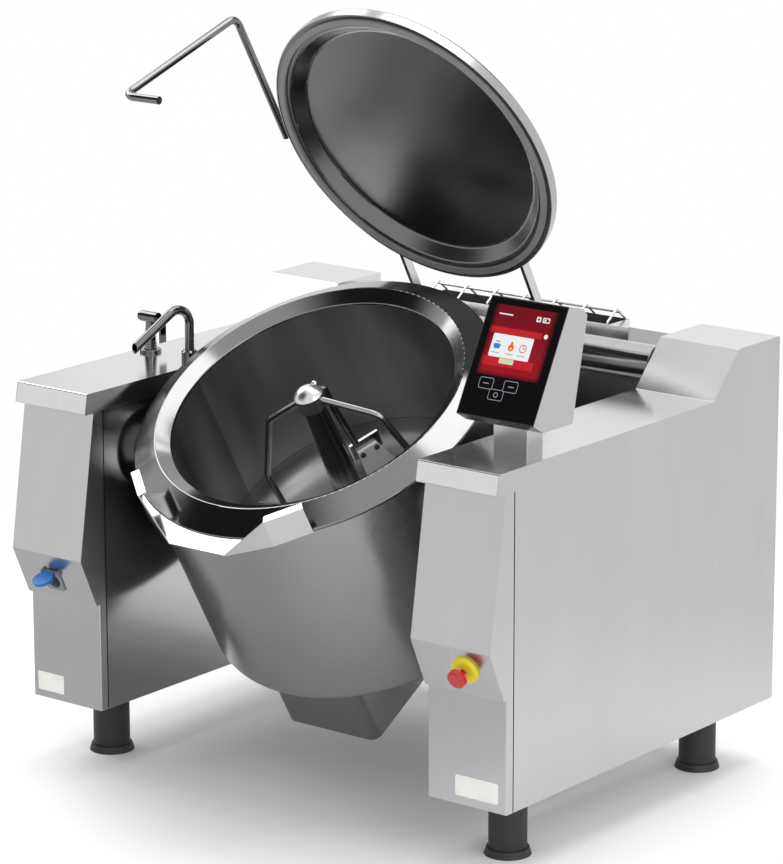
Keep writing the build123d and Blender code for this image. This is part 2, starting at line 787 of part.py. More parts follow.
shower_plane = Plane(origin=(shower_x, shower_y, deck_z), x_dir=(1, 0, 0), z_dir=(0, 0, 1))
shower_front = Plane(origin=(shower_x, shower_y, deck_z), x_dir=(1, 0, 0), z_dir=(0, -1, 0))
shower_side = Plane(origin=(shower_x, shower_y, deck_z), x_dir=(0, 1, 0), z_dir=(1, 0, 0))
with BuildPart() as shower_base:
    with BuildSketch(shower_plane):
        Circle(shower_flange_radius)
    extrude(amount=shower_flange_height)
    fillet(shower_base.edges().group_by(Axis.Z)[-1], radius=sheet)
    with BuildSketch(shower_plane):
        Circle(shower_bush_radius)
    extrude(amount=-shower_spigot_length)
    with BuildSketch(shower_plane.offset(-shower_spigot_length)):
        Circle(shower_spigot_radius + running_fit)
    extrude(amount=shower_spigot_length + shower_flange_height, mode=Mode.SUBTRACT)
shower_base.part.label = "shower_base"
export_step(shower_base.part, "parts/shower_base.step")

lever_pin_z = shower_head_height - shower_head_radius / 2
with BuildPart() as shower_gun:
    with BuildSketch(shower_front):
        with BuildLine():
            Polyline(
                (0, loose_fit - shower_spigot_length), (shower_spigot_radius, loose_fit - shower_spigot_length),
                (shower_spigot_radius, shower_flange_height + loose_fit),
                (shower_waist_radius + 2, shower_flange_height + loose_fit),
                (shower_waist_radius, shower_column_height / 2), (shower_spigot_radius, shower_head_height),
                (0, shower_head_height), close=True,
            )
        make_face()
    revolve(axis=Axis((shower_x, shower_y, deck_z), (0, 0, 1)))
    with BuildSketch(shower_side.offset(-shower_head_length / 2)):
        with Locations((0, shower_head_height)):
            Circle(shower_head_radius)
    extrude(amount=shower_head_length)
    with BuildSketch(shower_side.offset(-shower_head_length / 2 - 3 * sheet)):
        with Locations((0, shower_head_height)):
            Circle(shower_head_radius - sheet)
    extrude(amount=3 * sheet)
    with BuildSketch(shower_front):
        with Locations((lever_pivot_x - lever_width / 4, lever_pin_z)):
            Rectangle(lever_width, lever_width / 2)
    extrude(amount=lever_width / 2 - loose_fit, both=True)
    with BuildSketch(shower_front):
        with Locations((lever_pivot_x, lever_pin_z)):
            Circle(lever_pin_radius + running_fit)
    extrude(amount=lever_width, both=True, mode=Mode.SUBTRACT)
shower_gun.part.label = "shower_gun"
export_step(shower_gun.part, "parts/shower_gun.step")

# Squeeze lever: two cheeks on the pin and a blade that hangs beside the column.
lever_back = lever_pivot_x - 2 * lever_thickness
blade_inner = lever_pivot_x + 1.25 * lever_thickness
blade_outer = blade_inner + lever_thickness
with BuildPart() as shower_lever:
    with BuildSketch(shower_front.offset(-lever_width / 2 - sheet)):
        with BuildLine():
            FilletPolyline(
                (lever_pivot_x - lever_thickness, lever_pin_z - lever_thickness),
                (lever_pivot_x - lever_thickness, lever_pin_z + lever_thickness),
                (blade_outer, lever_pin_z + lever_thickness), (blade_outer, lever_pin_z - lever_drop),
                (blade_inner, lever_pin_z - lever_drop), (blade_inner, lever_pin_z - lever_thickness),
                radius=1, close=True,
            )
        make_face()
    extrude(amount=lever_width + 2 * sheet)
    with BuildSketch(shower_front.offset(-lever_width / 2)):
        with Locations(((lever_back + blade_inner) / 2, lever_pin_z)):
            Rectangle(blade_inner - lever_back, 4 * lever_thickness)
    extrude(amount=lever_width, mode=Mode.SUBTRACT)
    with BuildSketch(shower_front):
        with Locations((lever_pivot_x, lever_pin_z)):
            Circle(lever_pin_radius)
    extrude(amount=lever_width / 2 + sheet, both=True)
shower_lever.part.label = "shower_lever"
export_step(shower_lever.part, "parts/shower_lever.step")

# ==== Rear cross housing, flue tray and guard ====

rear_half = inner_x - sheet
flue_rear_y = rear_y - flue_rear_edge
flue_front_y = flue_rear_y - flue_opening
flue_middle_y = flue_rear_y - flue_opening / 2
flue_half_width = inner_x - flue_side_room
duct_half = flue_half_width + flue_wall
with BuildPart() as rear_housing:
    with BuildSketch(Plane.YZ.offset(-rear_half)):
        with Locations((rear_y - rear_housing_depth / 2, (shelf_z + rear_housing_bottom) / 2)):
            Rectangle(rear_housing_depth, shelf_z - rear_housing_bottom)
            offset(amount=-sheet, kind=Kind.INTERSECTION, mode=Mode.SUBTRACT)
    extrude(amount=2 * rear_half)
    with BuildSketch(Plane.XY.offset(shelf_z)):
        with Locations((0, flue_middle_y)):
            Rectangle(2 * duct_half, flue_opening + 2 * flue_wall)
    extrude(amount=-2 * sheet, mode=Mode.SUBTRACT)
rear_housing.part.label = "rear_housing"
export_step(rear_housing.part, "parts/rear_housing.step")

tray_half = flue_half_width + flue_ear
with BuildPart() as flue_tray:
    with BuildSketch(Plane.XY.offset(shelf_z)):
        with BuildLine():
            Polyline(
                (-tray_half, flue_front_y - flue_wall), (tray_half, flue_front_y - flue_wall),
                (tray_half - flue_ear_taper, flue_middle_y + 2 * flue_wall),
                (duct_half, flue_rear_y + flue_wall), (-duct_half, flue_rear_y + flue_wall),
                (flue_ear_taper - tray_half, flue_middle_y + 2 * flue_wall), close=True,
            )
        make_face()
    extrude(amount=flue_height)
    with BuildSketch(Plane.XY.offset(shelf_z)):
        with Locations((0, flue_middle_y)):
            Rectangle(2 * duct_half, flue_opening + 2 * flue_wall)
    extrude(amount=-duct_depth)
    with BuildSketch(Plane.XY.offset(shelf_z - duct_depth)):
        with Locations((0, flue_middle_y)):
            Rectangle(2 * flue_half_width, flue_opening)
    extrude(amount=duct_depth + flue_height, mode=Mode.SUBTRACT)
flue_tray.part.label = "flue_tray"
export_step(flue_tray.part, "parts/flue_tray.step")

# Hat-shaped wires stand inside the opening, joined by one rod under their tops.
guard_z = shelf_z + flue_height
guard_half = flue_half_width - guard_end_gap
guard_pitch = 2 * guard_half / (guard_count - 1)
guard_apex_y = flue_rear_y - guard_apex_reach
guard_foot_z = guard_z - 2 * guard_wire
guard_knee_z = guard_z + guard_wire
with BuildPart() as guard_bar:
    with BuildLine(Plane.YZ.offset(-guard_half)) as guard_path:
        FilletPolyline(
            (flue_front_y + guard_wire, guard_foot_z), (flue_front_y + guard_wire, guard_knee_z),
            (guard_apex_y, guard_z + guard_rise),
            (flue_rear_y - guard_wire, guard_knee_z), (flue_rear_y - guard_wire, guard_foot_z),
            radius=guard_wire * 1.3,
        )
    with BuildSketch(guard_path.line ^ 0):
        Circle(guard_wire)
    sweep()
with BuildPart() as flue_guard:
    for index in range(guard_count):
        with Locations((guard_pitch * index, 0, 0)):
            add(guard_bar.part)
    with BuildSketch(Plane.YZ.offset(-guard_half - 4 * guard_wire)):
        with Locations((guard_apex_y, guard_z + guard_rise - 2 * guard_wire)):
            Circle(guard_wire)
    extrude(amount=2 * guard_half + 8 * guard_wire)
flue_guard.part.label = "flue_guard"
export_step(flue_guard.part, "parts/flue_guard.step")

# ==== Trunnion bearings and tilt drive ====

bearing_x = inner_x + sheet
bearing_end = bearing_x + bearing_plate_thickness + bearing_boss_length
with BuildPart() as trunnion_bearings:
    for side in (-1, 1):
        face = Plane(origin=(side * bearing_x, trunnion_y, trunnion_z), x_dir=(0, 1, 0), z_dir=(side, 0, 0))
        with BuildSketch(face):
            RectangleRounded(bearing_plate, bearing_plate, 4 * bend)
        extrude(amount=bearing_plate_thickness)
        with BuildSketch(face.offset(bearing_plate_thickness)):
            Circle(bearing_boss_radius)
        extrude(amount=bearing_boss_length)
    with BuildSketch(trunnion_axis_plane):
        Circle(trunnion_radius + running_fit)
    extrude(amount=outer_x, both=True, mode=Mode.SUBTRACT)
trunnion_bearings.part.label = "trunnion_bearings"
export_step(trunnion_bearings.part, "parts/trunnion_bearings.step")

# Worm box on the right-hand bearing, its motor hanging beside the post.
with BuildPart() as tilt_gearmotor:
    with BuildSketch(trunnion_axis_plane.offset(bearing_end)):
        RectangleRounded(drive_box, drive_box, 4 * bend)
    extrude(amount=drive_length)
    motor_x = bearing_end + drive_length - drive_motor_radius
    with BuildSketch(Plane(origin=(motor_x, trunnion_y, trunnion_z - drive_box / 2), z_dir=(0, 0, -1))):
        Circle(drive_motor_radius)
    extrude(amount=drive_motor_length)
    with BuildSketch(trunnion_axis_plane.offset(bearing_end)):
        Circle(trunnion_radius + running_fit)
    extrude(amount=trunnion_drive_reach + loose_fit, mode=Mode.SUBTRACT)
tilt_gearmotor.part.label = "tilt_gearmotor"
export_step(tilt_gearmotor.part, "parts/tilt_gearmotor.step")

# ==== Kettle body ====

with BuildPart() as pan:
    with BuildSketch(kettle_section):
        with BuildLine():
            FilletPolyline(
                (pan_mouth_radius, pan_mouth_h - rim_lip), (pan_seam_radius, pan_bottom_h),
                (column_foot_radius, pan_bottom_h), radius=knuckle_radius,
            )
            offset(amount=vessel_sheet, side=Side.LEFT)
        make_face()
    revolve(axis=mixer_axis)

# The pan is welded from a rolled wall and a dished bottom.
pan_seam = kettle_top.offset(pan_bottom_h + knuckle_radius)
with BuildPart() as pan_wall:
    add(pan.part)
    split(bisect_by=pan_seam, keep=Keep.TOP)
pan_wall.part.label = "pan_wall"
export_step(pan_wall.part, "parts/pan_wall.step")

with BuildPart() as pan_bottom:
    add(pan.part)
    split(bisect_by=pan_seam, keep=Keep.BOTTOM)
pan_bottom.part.label = "pan_bottom"
export_step(pan_bottom.part, "parts/pan_bottom.step")

# Rim: a short lip on the pan, the ridge, and the sloping collar with its folded edge.
with BuildPart() as rim_ring:
    with BuildSketch(kettle_section):
        with BuildLine():
            FilletPolyline(
                (pan_mouth_radius, pan_mouth_h - rim_lip + edge_gap), (pan_mouth_radius, pan_mouth_h),
                (ridge_radius, 0), (collar_radius, collar_h), (shell_top_radius, shell_top_h),
                radius=bend,
            )
            offset(amount=collar_sheet, side=Side.RIGHT)
        make_face()
    revolve(axis=mixer_axis)
rim_ring.part.label = "rim_ring"
export_step(rim_ring.part, "parts/rim_ring.step")

with BuildPart() as outer_shell:
    with BuildSketch(kettle_section):
        with BuildLine():
            FilletPolyline(
                (shell_top_radius, shell_top_h), (shell_bottom_radius, shell_bottom_h),
                (column_foot_radius, shell_bottom_h), radius=shell_corner,
            )
            offset(amount=sheet, side=Side.RIGHT)
        make_face()
    revolve(axis=mixer_axis)
outer_shell.part.label = "outer_shell"
export_step(outer_shell.part, "parts/outer_shell.step")

pan_wall_slope = (pan_seam_radius - pan_mouth_radius) / (pan_mouth_h - rim_lip - pan_bottom_h)
jacket_root = pan_mouth_radius + (pan_mouth_h - rim_lip - jacket_top_h) * pan_wall_slope + vessel_sheet
with BuildPart() as steam_jacket:
    with BuildSketch(kettle_section):
        with BuildLine():
            FilletPolyline(
                (jacket_root, jacket_top_h), (jacket_radius, jacket_top_h - jacket_shoulder),
                (jacket_radius, jacket_bottom_h), (column_foot_radius, jacket_bottom_h),
                radius=jacket_shoulder,
            )
            offset(amount=vessel_sheet, side=Side.LEFT)
        make_face()
    revolve(axis=mixer_axis)
steam_jacket.part.label = "steam_jacket"
export_step(steam_jacket.part, "parts/steam_jacket.step")

# ==== Pouring spout ====

spout_tip = (spout_tip_half, -collar_radius - spout_tip_reach)


def spout_corner(angle, reach):
    """Point in the kettle's plan, at an angle from the front and beyond the collar's edge."""
    turn = radians(angle)
    return ((collar_radius + reach) * sin(turn), -(collar_radius + reach) * cos(turn))


spout_knee = spout_corner(spout_knee_angle, spout_knee_reach)
spout_root = spout_corner(spout_root_angle, spout_root_reach)
cheek_length = hypot(spout_knee[0] - spout_tip[0], spout_knee[1] - spout_tip[1])
cheek_along = kettle_top.from_local_coords(spout_knee + (0,)) - kettle_top.from_local_coords(spout_tip + (0,))
cheek_plane = Plane(
    origin=kettle_top.from_local_coords(spout_tip + (0,)), x_dir=cheek_along,
    z_dir=cheek_along.cross(kettle_axis),
)
with BuildPart() as pour_spout:
    with BuildSketch(kettle_top.offset(spout_floor_h - spout_sheet)):
        with BuildLine():
            Polyline(
                spout_tip, spout_knee, spout_root, (-spout_root[0], spout_root[1]),
                (-spout_knee[0], spout_knee[1]), (-spout_tip[0], spout_tip[1]), close=True,
            )
        make_face()
        Circle(collar_radius - spout_seat, mode=Mode.SUBTRACT)
    extrude(amount=spout_sheet)
    with BuildSketch(kettle_top.offset(spout_floor_h - spout_sheet)):
        with BuildLine():
            Polyline(spout_tip, spout_knee, spout_root)
            offset(amount=spout_sheet, side=Side.LEFT)
        make_face()
        Circle(collar_radius - spout_seat, mode=Mode.SUBTRACT)
    extrude(amount=spout_cheek_h - spout_floor_h + spout_sheet)
    with BuildSketch(kettle_top.offset(spout_cheek_h - spout_sheet)):
        with BuildLine():
            Polyline(spout_knee, spout_root)
            offset(amount=spout_flange, side=Side.LEFT)
        make_face()
    extrude(amount=spout_sheet)
    with BuildSketch(cheek_plane):
        with BuildLine():
            Polyline(
                (-spout_flange, spout_floor_h), (0, spout_floor_h), (cheek_length, spout_cheek_h),
                (cheek_length, 2 * spout_cheek_h), (-spout_flange, 2 * spout_cheek_h), close=True,
            )
        make_face()
    extrude(amount=spout_flange * 2, both=True, mode=Mode.SUBTRACT)
    mirror(about=Plane.YZ)
pour_spout.part.label = "pour_spout"
export_step(pour_spout.part, "parts/pour_spout.step")

# ==== Trunnions, saddled on the shell ====

with BuildPart() as shell_form:
    with BuildSketch(kettle_section):
        with BuildLine():
            Polyline(
                (0, shell_top_h), (shell_top_radius, shell_top_h), (shell_bottom_radius, shell_bottom_h),
                (0, shell_bottom_h), close=True,
            )
        make_face()
    revolve(axis=mixer_axis)

boss_x = inner_x - trunnion_side_gap
trunnion_ends = {-1: bearing_end + trunnion_end_margin, 1: bearing_end + trunnion_drive_reach}
with BuildPart() as trunnions:
    for side in (-1, 1):
        face = Plane(origin=(side * boss_x, trunnion_y, trunnion_z), x_dir=(0, 1, 0), z_dir=(side, 0, 0))
        with BuildSketch(face):
            Circle(boss_radius)
        extrude(amount=shell_top_radius / 2 - boss_x)
        with BuildSketch(face):
            Circle(hub_radius)
        extrude(amount=hub_length)
        with BuildSketch(face):
            Circle(trunnion_radius)
        extrude(amount=trunnion_ends[side] - boss_x)
    add(shell_form.part, mode=Mode.SUBTRACT)
trunnions.part.label = "trunnions"
export_step(trunnions.part, "parts/trunnions.step")

# ==== Mixer drive under the shell ====

with BuildPart() as gearmotor_cover:
    with BuildSketch(kettle_top.offset(cover_bottom_h)) as cover_plan:
        with Locations((0, (cover_rear - cover_front) / 2)):
            Rectangle(2 * cover_half_width, cover_front + cover_rear)
        fillet(cover_plan.vertices().group_by(Axis(rim_centre, kettle_back))[0], radius=cover_corner)
    extrude(amount=shell_bottom_h - cover_bottom_h)
    with BuildSketch(kettle_top.offset(cover_bottom_h + sheet)):
        add(cover_plan.sketch_local)
        offset(amount=-sheet)
    extrude(amount=shell_bottom_h - cover_bottom_h, mode=Mode.SUBTRACT)
gearmotor_cover.part.label = "gearmotor_cover"
export_step(gearmotor_cover.part, "parts/gearmotor_cover.step")

motor_front = kettle_section.offset(mixer_box / 2)
with BuildPart() as mixer_gearmotor:
    with BuildSketch(kettle_top.offset(shell_bottom_h)):
        RectangleRounded(mixer_box, mixer_box, 4 * bend)
    extrude(amount=-mixer_box_height)
    with BuildSketch(motor_front):
        with Locations((0, shell_bottom_h - mixer_motor_radius - 2 * sheet)):
            Circle(mixer_motor_radius)
    extrude(amount=mixer_motor_length)
    with BuildSketch(kettle_top.offset(shell_bottom_h)):
        Circle(shaft_radius)
    extrude(amount=-shaft_depth, mode=Mode.SUBTRACT)
mixer_gearmotor.part.label = "mixer_gearmotor"
export_step(mixer_gearmotor.part, "parts/mixer_gearmotor.step")

# Fixed column: tapered inside the pan, plain from the pan's bottom to the shell's.
with BuildPart() as center_column:
    with BuildSketch(kettle_section):
        with BuildLine():
            Polyline(
                (column_bore, column_top_h), (column_top_radius, column_top_h),
                (column_waist_radius, column_waist_h), (column_foot_radius, pan_bottom_h),
                (column_foot_radius, shell_bottom_h), (column_bore, shell_bottom_h), close=True,
            )
        make_face()
    revolve(axis=mixer_axis)
center_column.part.label = "center_column"
export_step(center_column.part, "parts/center_column.step")

with BuildPart() as column_bushes:
    for top_h in (column_top_h, shell_bottom_h + bush_length):
        with BuildSketch(kettle_top.offset(top_h)):
            Circle(column_bore)
            Circle(shaft_radius + running_fit, mode=Mode.SUBTRACT)
        extrude(amount=-bush_length)
column_bushes.part.label = "column_bushes"
export_step(column_bushes.part, "parts/column_bushes.step")

# ==== Mixer ====


def mixer_plane(angle):
    """Plane through the kettle's axis, its x outward at an angle from +X toward the back."""
    turn = radians(angle)
    outward = Vector(1, 0, 0) * cos(turn) + kettle_back * sin(turn)
    return Plane(origin=rim_centre, x_dir=outward, z_dir=outward.cross(kettle_axis))


with BuildPart() as mixer_shaft:
    with BuildSketch(kettle_top):
        Circle(shaft_radius - running_fit)
    extrude(amount=shell_bottom_h - shaft_depth + loose_fit)
mixer_shaft.part.label = "mixer_shaft"
export_step(mixer_shaft.part, "parts/mixer_shaft.step")

hub_bore = shaft_radius - running_fit
hub_bottom_h = column_top_h + column_gap
dome_rise = hub_crown_h - hub_shoulder_h
dome_radius = (hub_cap_radius**2 + dome_rise**2) / (2 * dome_rise)
dome_half = asin(hub_cap_radius / dome_radius) / 2
with BuildPart() as mixer_hub:
    with BuildSketch(kettle_section):
        with BuildLine():
            Polyline(
                (0, hub_crown_h), (0, 0), (hub_bore, 0), (hub_bore, hub_bottom_h),
                (hub_cap_radius, hub_bottom_h), (hub_cap_radius, hub_shoulder_h),
            )
            ThreePointArc(
                (hub_cap_radius, hub_shoulder_h),
                (dome_radius * sin(dome_half), hub_crown_h - dome_radius * (1 - cos(dome_half))),
                (0, hub_crown_h),
            )
        make_face()
    revolve(axis=mixer_axis)
mixer_hub.part.label = "mixer_hub"
export_step(mixer_hub.part, "parts/mixer_hub.step")



def pan_point(across, down):
    """Radius and height of a point given as shares of the pan's radius and depth."""
    return (across * pan_seam_radius, down * pan_bottom_h)


# Each arm: its angle, the path of its round bar from the shaft to the holder, the holder's
# inner and outer radius, and the bar's bends.
low_holder_h = pan_bottom_h + scraper_gap + scraper_height
left_route = [
    (shaft_radius, -0.7 * shaft_radius), pan_point(0.395, 0.179), pan_point(0.611, 0.566),
    (0.588 * pan_seam_radius, low_holder_h),
]
right_route = [
    (shaft_radius, -0.54 * shaft_radius), pan_point(0.476, 0.117), pan_point(0.584, 0.337),
    pan_point(0.659, 0.587), (0.676 * pan_seam_radius, low_holder_h),
]
rear_route = [
    (shaft_radius, 0.48 * shaft_radius), pan_point(0.115, 0.015), pan_point(0.122, 0.15),
    (0.159 * pan_seam_radius, high_holder_h),
]
left_hold, right_hold, rear_hold = [
    (inner * pan_seam_radius, outer * pan_seam_radius)
    for inner, outer in ((0.4, 0.784), (0.642, 0.932), (0.111, 0.328))
]
arms = [
    (left_arm_angle, left_route, left_hold, arm_bend),
    (right_arm_angle, right_route, right_hold, arm_bend),
    (rear_arm_angle, rear_route, rear_hold, arm_bend / 3),
]


def screw_places(route, reach):
    """Two screws in the lap between an arm's holder and its scraper."""
    inset = (reach[1] - reach[0]) / 4
    height = route[-1][1] - holder_height + holder_lap / 2
    return [(reach[0] + inset, height), (reach[1] - inset, height)]


with BuildPart() as scraper_holders:
    for angle, route, reach, bar_bend in arms:
        with BuildSketch(mixer_plane(angle).offset(-holder_thickness / 2)):
            with Locations(((reach[0] + reach[1]) / 2, route[-1][1] - holder_height / 2)):
                Rectangle(reach[1] - reach[0], holder_height)
            with Locations(*screw_places(route, reach)):
                Circle(screw_radius, mode=Mode.SUBTRACT)
        extrude(amount=holder_thickness)
scraper_holders.part.label = "scraper_holders"
export_step(scraper_holders.part, "parts/scraper_holders.step")

with BuildPart() as mixer_arms:
    for angle, route, reach, bar_bend in arms:
        with BuildLine(mixer_plane(angle)) as arm_path:
            FilletPolyline(*route, radius=bar_bend)
        with BuildSketch(arm_path.line ^ 0):
            Circle(arm_radius)
        sweep()
    add(scraper_holders.part, mode=Mode.SUBTRACT)
    add(mixer_hub.part, mode=Mode.SUBTRACT)
    add(mixer_shaft.part, mode=Mode.SUBTRACT)
mixer_arms.part.label = "mixer_arms"
export_step(mixer_arms.part, "parts/mixer_arms.step")

scraper_bottom = pan_bottom_h + scraper_gap
low_top = low_holder_h - holder_height + holder_lap
high_top = high_holder_h - holder_height + holder_lap
wall_reach = pan_seam_radius - 1.5 * scraper_gap
rear_inner, rear_top, rear_shoulder, rear_toe = [
    share * pan_seam_radius for share in (0.139, 0.29, 0.358, 0.54)
]


def low_scraper(inner, outer):
    """Outline of a plain scraper between two radii."""
    return [(inner, low_top), (outer, low_top), (outer, scraper_bottom), (inner, scraper_bottom)]


rear_outline = [
    (rear_inner, high_top), (rear_top, high_top), (rear_shoulder, high_top - rear_scraper_drop),
    (rear_toe, scraper_bottom), (rear_inner, scraper_bottom),
]
scrapers = [
    (low_scraper(*left_hold), bend),
    (low_scraper(right_hold[0], wall_reach), knuckle_radius - 1.5 * scraper_gap),
    (rear_outline, bend),
]
with BuildPart() as scraper_plates:
    for (angle, route, reach, bar_bend), (outline, heel_radius) in zip(arms, scrapers):
        corners = [bend] * len(outline)
        corners[-2] = heel_radius
        with BuildSketch(mixer_plane(angle).offset(holder_thickness / 2)):
            with BuildLine():
                FilletPolyline(*outline, radius=corners, close=True)
            make_face()
            with Locations(*screw_places(route, reach)):
                Circle(screw_radius, mode=Mode.SUBTRACT)
        extrude(amount=scraper_thickness)
scraper_plates.part.label = "scraper_plates"
export_step(scraper_plates.part, "parts/scraper_plates.step")

with BuildPart() as scraper_screws:
    for angle, route, reach, bar_bend in arms:
        with BuildSketch(mixer_plane(angle).offset(-holder_thickness / 2)):
            with Locations(*screw_places(route, reach)):
                Circle(screw_radius)
        extrude(amount=holder_thickness + scraper_thickness)
        with BuildSketch(mixer_plane(angle).offset(holder_thickness / 2 + scraper_thickness)):
            with Locations(*screw_places(route, reach)):
                Circle(screw_head_radius)
        extrude(amount=screw_head)
scraper_screws.part.label = "scraper_screws"
export_step(scraper_screws.part, "parts/scraper_screws.step")

# ==== Lid ====

lid_profile = [
    (lid_radius, 0), (lid_radius, lid_skirt), (lid_radius - lid_shoulder_inset, lid_shoulder_q),
    (lid_radius - lid_dome_inset, lid_dome_q), (lid_radius / 5, lid_crown_q), (0, lid_crown_q),
]
with BuildPart() as lid_form:
    with BuildSketch(lid_section):
        with BuildLine():
            FilletPolyline(*lid_profile, radius=2 * bend)
            Polyline((0, lid_crown_q), (0, 0), (lid_radius, 0))
        make_face()
    revolve(axis=lid_axis)

with BuildPart() as lid_shell:
    with BuildSketch(lid_section):
        with BuildLine():
            FilletPolyline(*lid_profile, radius=2 * bend)
            offset(amount=sheet, side=Side.LEFT)
        make_face()
    revolve(axis=lid_axis)
lid_shell.part.label = "lid_shell"
export_step(lid_shell.part, "parts/lid_shell.step")

# Pressed inner panel: a flat sealing ring, a rounded step and a recessed disc.
with BuildPart() as lid_inner_panel:
    with BuildSketch(lid_section):
        with BuildLine():
            FilletPolyline(
                (lid_radius - sheet, seal_gap), (lid_radius - lid_ring_width, seal_gap),
                (lid_radius - lid_recess_inset, lid_recess_q), (0, lid_recess_q), radius=3 * bend,
            )
            offset(amount=sheet, side=Side.RIGHT)
        make_face()
    revolve(axis=lid_axis)
lid_inner_panel.part.label = "lid_inner_panel"
export_step(lid_inner_panel.part, "parts/lid_inner_panel.step")

gasket_radius = lid_radius - gasket_inset
with BuildPart() as lid_gasket:
    with BuildSketch(lid_plane.offset(seal_gap)):
        Circle(gasket_radius + gasket_width / 2)
        Circle(gasket_radius - gasket_width / 2, mode=Mode.SUBTRACT)
    extrude(amount=-gasket_height)
lid_gasket.part.label = "lid_gasket"
export_step(lid_gasket.part, "parts/lid_gasket.step")

tube_half = inner_x - sheet - tube_end_gap
tube_cap = 2 * tube_wall
with BuildPart() as hinge_tube:
    with BuildSketch(hinge_axis_plane.offset(-tube_half)):
        Circle(tube_radius)
        Circle(tube_radius - tube_wall, mode=Mode.SUBTRACT)
    extrude(amount=2 * tube_half)
    for side in (-1, 1):
        end = Plane(origin=(side * tube_half, hinge_y, hinge_z), x_dir=(0, 1, 0), z_dir=(side, 0, 0))
        with BuildSketch(end):
            Circle(tube_radius - tube_wall)
        extrude(amount=-tube_cap)
        with BuildSketch(end):
            Circle(journal_radius)
        extrude(amount=journal_length)
hinge_tube.part.label = "hinge_tube"
export_step(hinge_tube.part, "parts/hinge_tube.step")

# Two flat bars from the hinge tube, notched over the lid's edge.
arm_start = sqrt(lid_radius**2 - lid_arm_x**2) - lid_arm_lap
arm_mid_q = (lid_arm_low_q + lid_arm_high_q) / 2
with BuildPart() as lid_arms:
    for side in (-1, 1):
        with BuildSketch(lid_side.offset(side * lid_arm_x - lid_arm_thickness / 2)):
            with Locations(((arm_start - closed_y) / 2, arm_mid_q)):
                Rectangle(-closed_y - arm_start, lid_arm_high_q - lid_arm_low_q)
        extrude(amount=lid_arm_thickness)
    add(lid_form.part, mode=Mode.SUBTRACT)
    with BuildSketch(hinge_axis_plane):
        Circle(tube_radius)
    extrude(amount=tube_half, both=True, mode=Mode.SUBTRACT)
lid_arms.part.label = "lid_arms"
export_step(lid_arms.part, "parts/lid_arms.step")

# Long bent handle welded to the lid's left edge.
handle_x = -lid_radius - handle_radius - handle_stand_off
handle_knee = lid_radius - handle_knee_inset
handle_reach = lid_radius + handle_overhang
handle_points = [
    (-lid_radius - handle_radius + sheet / 2, handle_root, handle_q),
    (handle_x, -handle_knee, handle_q),
    (handle_x, -handle_reach, handle_q - handle_drop),
    (handle_x + handle_grip, -handle_reach, handle_q - handle_drop),
]
with BuildPart() as lid_handle:
    with BuildLine() as handle_path:
        FilletPolyline(*[lid_plane.from_local_coords(point) for point in handle_points], radius=handle_bend)
    with BuildSketch(handle_path.line ^ 0):
        Circle(handle_radius)
    sweep()
    add(lid_form.part, mode=Mode.SUBTRACT)
lid_handle.part.label = "lid_handle"
export_step(lid_handle.part, "parts/lid_handle.step")

with BuildPart() as lid_bearings:
    for side in (-1, 1):
        face = Plane(origin=(side * bearing_x, hinge_y, hinge_z), x_dir=(0, 1, 0), z_dir=(side, 0, 0))
        with BuildSketch(face):
            Circle(lid_bearing_radius)
            Circle(journal_radius + running_fit, mode=Mode.SUBTRACT)
        extrude(amount=lid_bearing_length)
lid_bearings.part.label = "lid_bearings"
export_step(lid_bearings.part, "parts/lid_bearings.step")

with BuildPart() as lid_spring_cartridges:
    for side in (-1, 1):
        start = side * (bearing_x + lid_bearing_length)
        face = Plane(origin=(start, hinge_y, hinge_z), x_dir=(0, 1, 0), z_dir=(side, 0, 0))
        with BuildSketch(face):
            Circle(lid_bearing_radius)
            Circle(journal_radius + loose_fit, mode=Mode.SUBTRACT)
        extrude(amount=cartridge_length)
lid_spring_cartridges.part.label = "lid_spring_cartridges"
export_step(lid_spring_cartridges.part, "parts/lid_spring_cartridges.step")
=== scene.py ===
import json
from math import cos, pi, radians, sin

import bmesh
import bpy
import numpy as np
from mathutils import Matrix, Vector


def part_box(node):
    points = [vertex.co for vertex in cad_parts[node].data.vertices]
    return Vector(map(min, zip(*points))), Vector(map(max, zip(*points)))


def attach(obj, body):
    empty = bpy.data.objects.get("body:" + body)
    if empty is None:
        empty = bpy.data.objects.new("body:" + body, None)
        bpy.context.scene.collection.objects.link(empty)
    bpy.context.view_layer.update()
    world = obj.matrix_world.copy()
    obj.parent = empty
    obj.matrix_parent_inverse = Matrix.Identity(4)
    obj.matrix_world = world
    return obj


# A tilting steam jacketed kettle with a mixer, in metres: X across, +Y to the back, +Z up.

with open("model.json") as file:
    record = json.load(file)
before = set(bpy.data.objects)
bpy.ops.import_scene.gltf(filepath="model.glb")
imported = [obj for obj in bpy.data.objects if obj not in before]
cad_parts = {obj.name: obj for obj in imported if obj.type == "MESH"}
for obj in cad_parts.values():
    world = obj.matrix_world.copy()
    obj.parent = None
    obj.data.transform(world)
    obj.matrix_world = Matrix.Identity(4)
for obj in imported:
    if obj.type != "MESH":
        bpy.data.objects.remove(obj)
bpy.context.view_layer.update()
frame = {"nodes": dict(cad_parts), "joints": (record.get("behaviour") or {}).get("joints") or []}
nodes = frame["nodes"]
joints = {joint["name"]: joint for joint in frame["joints"]}

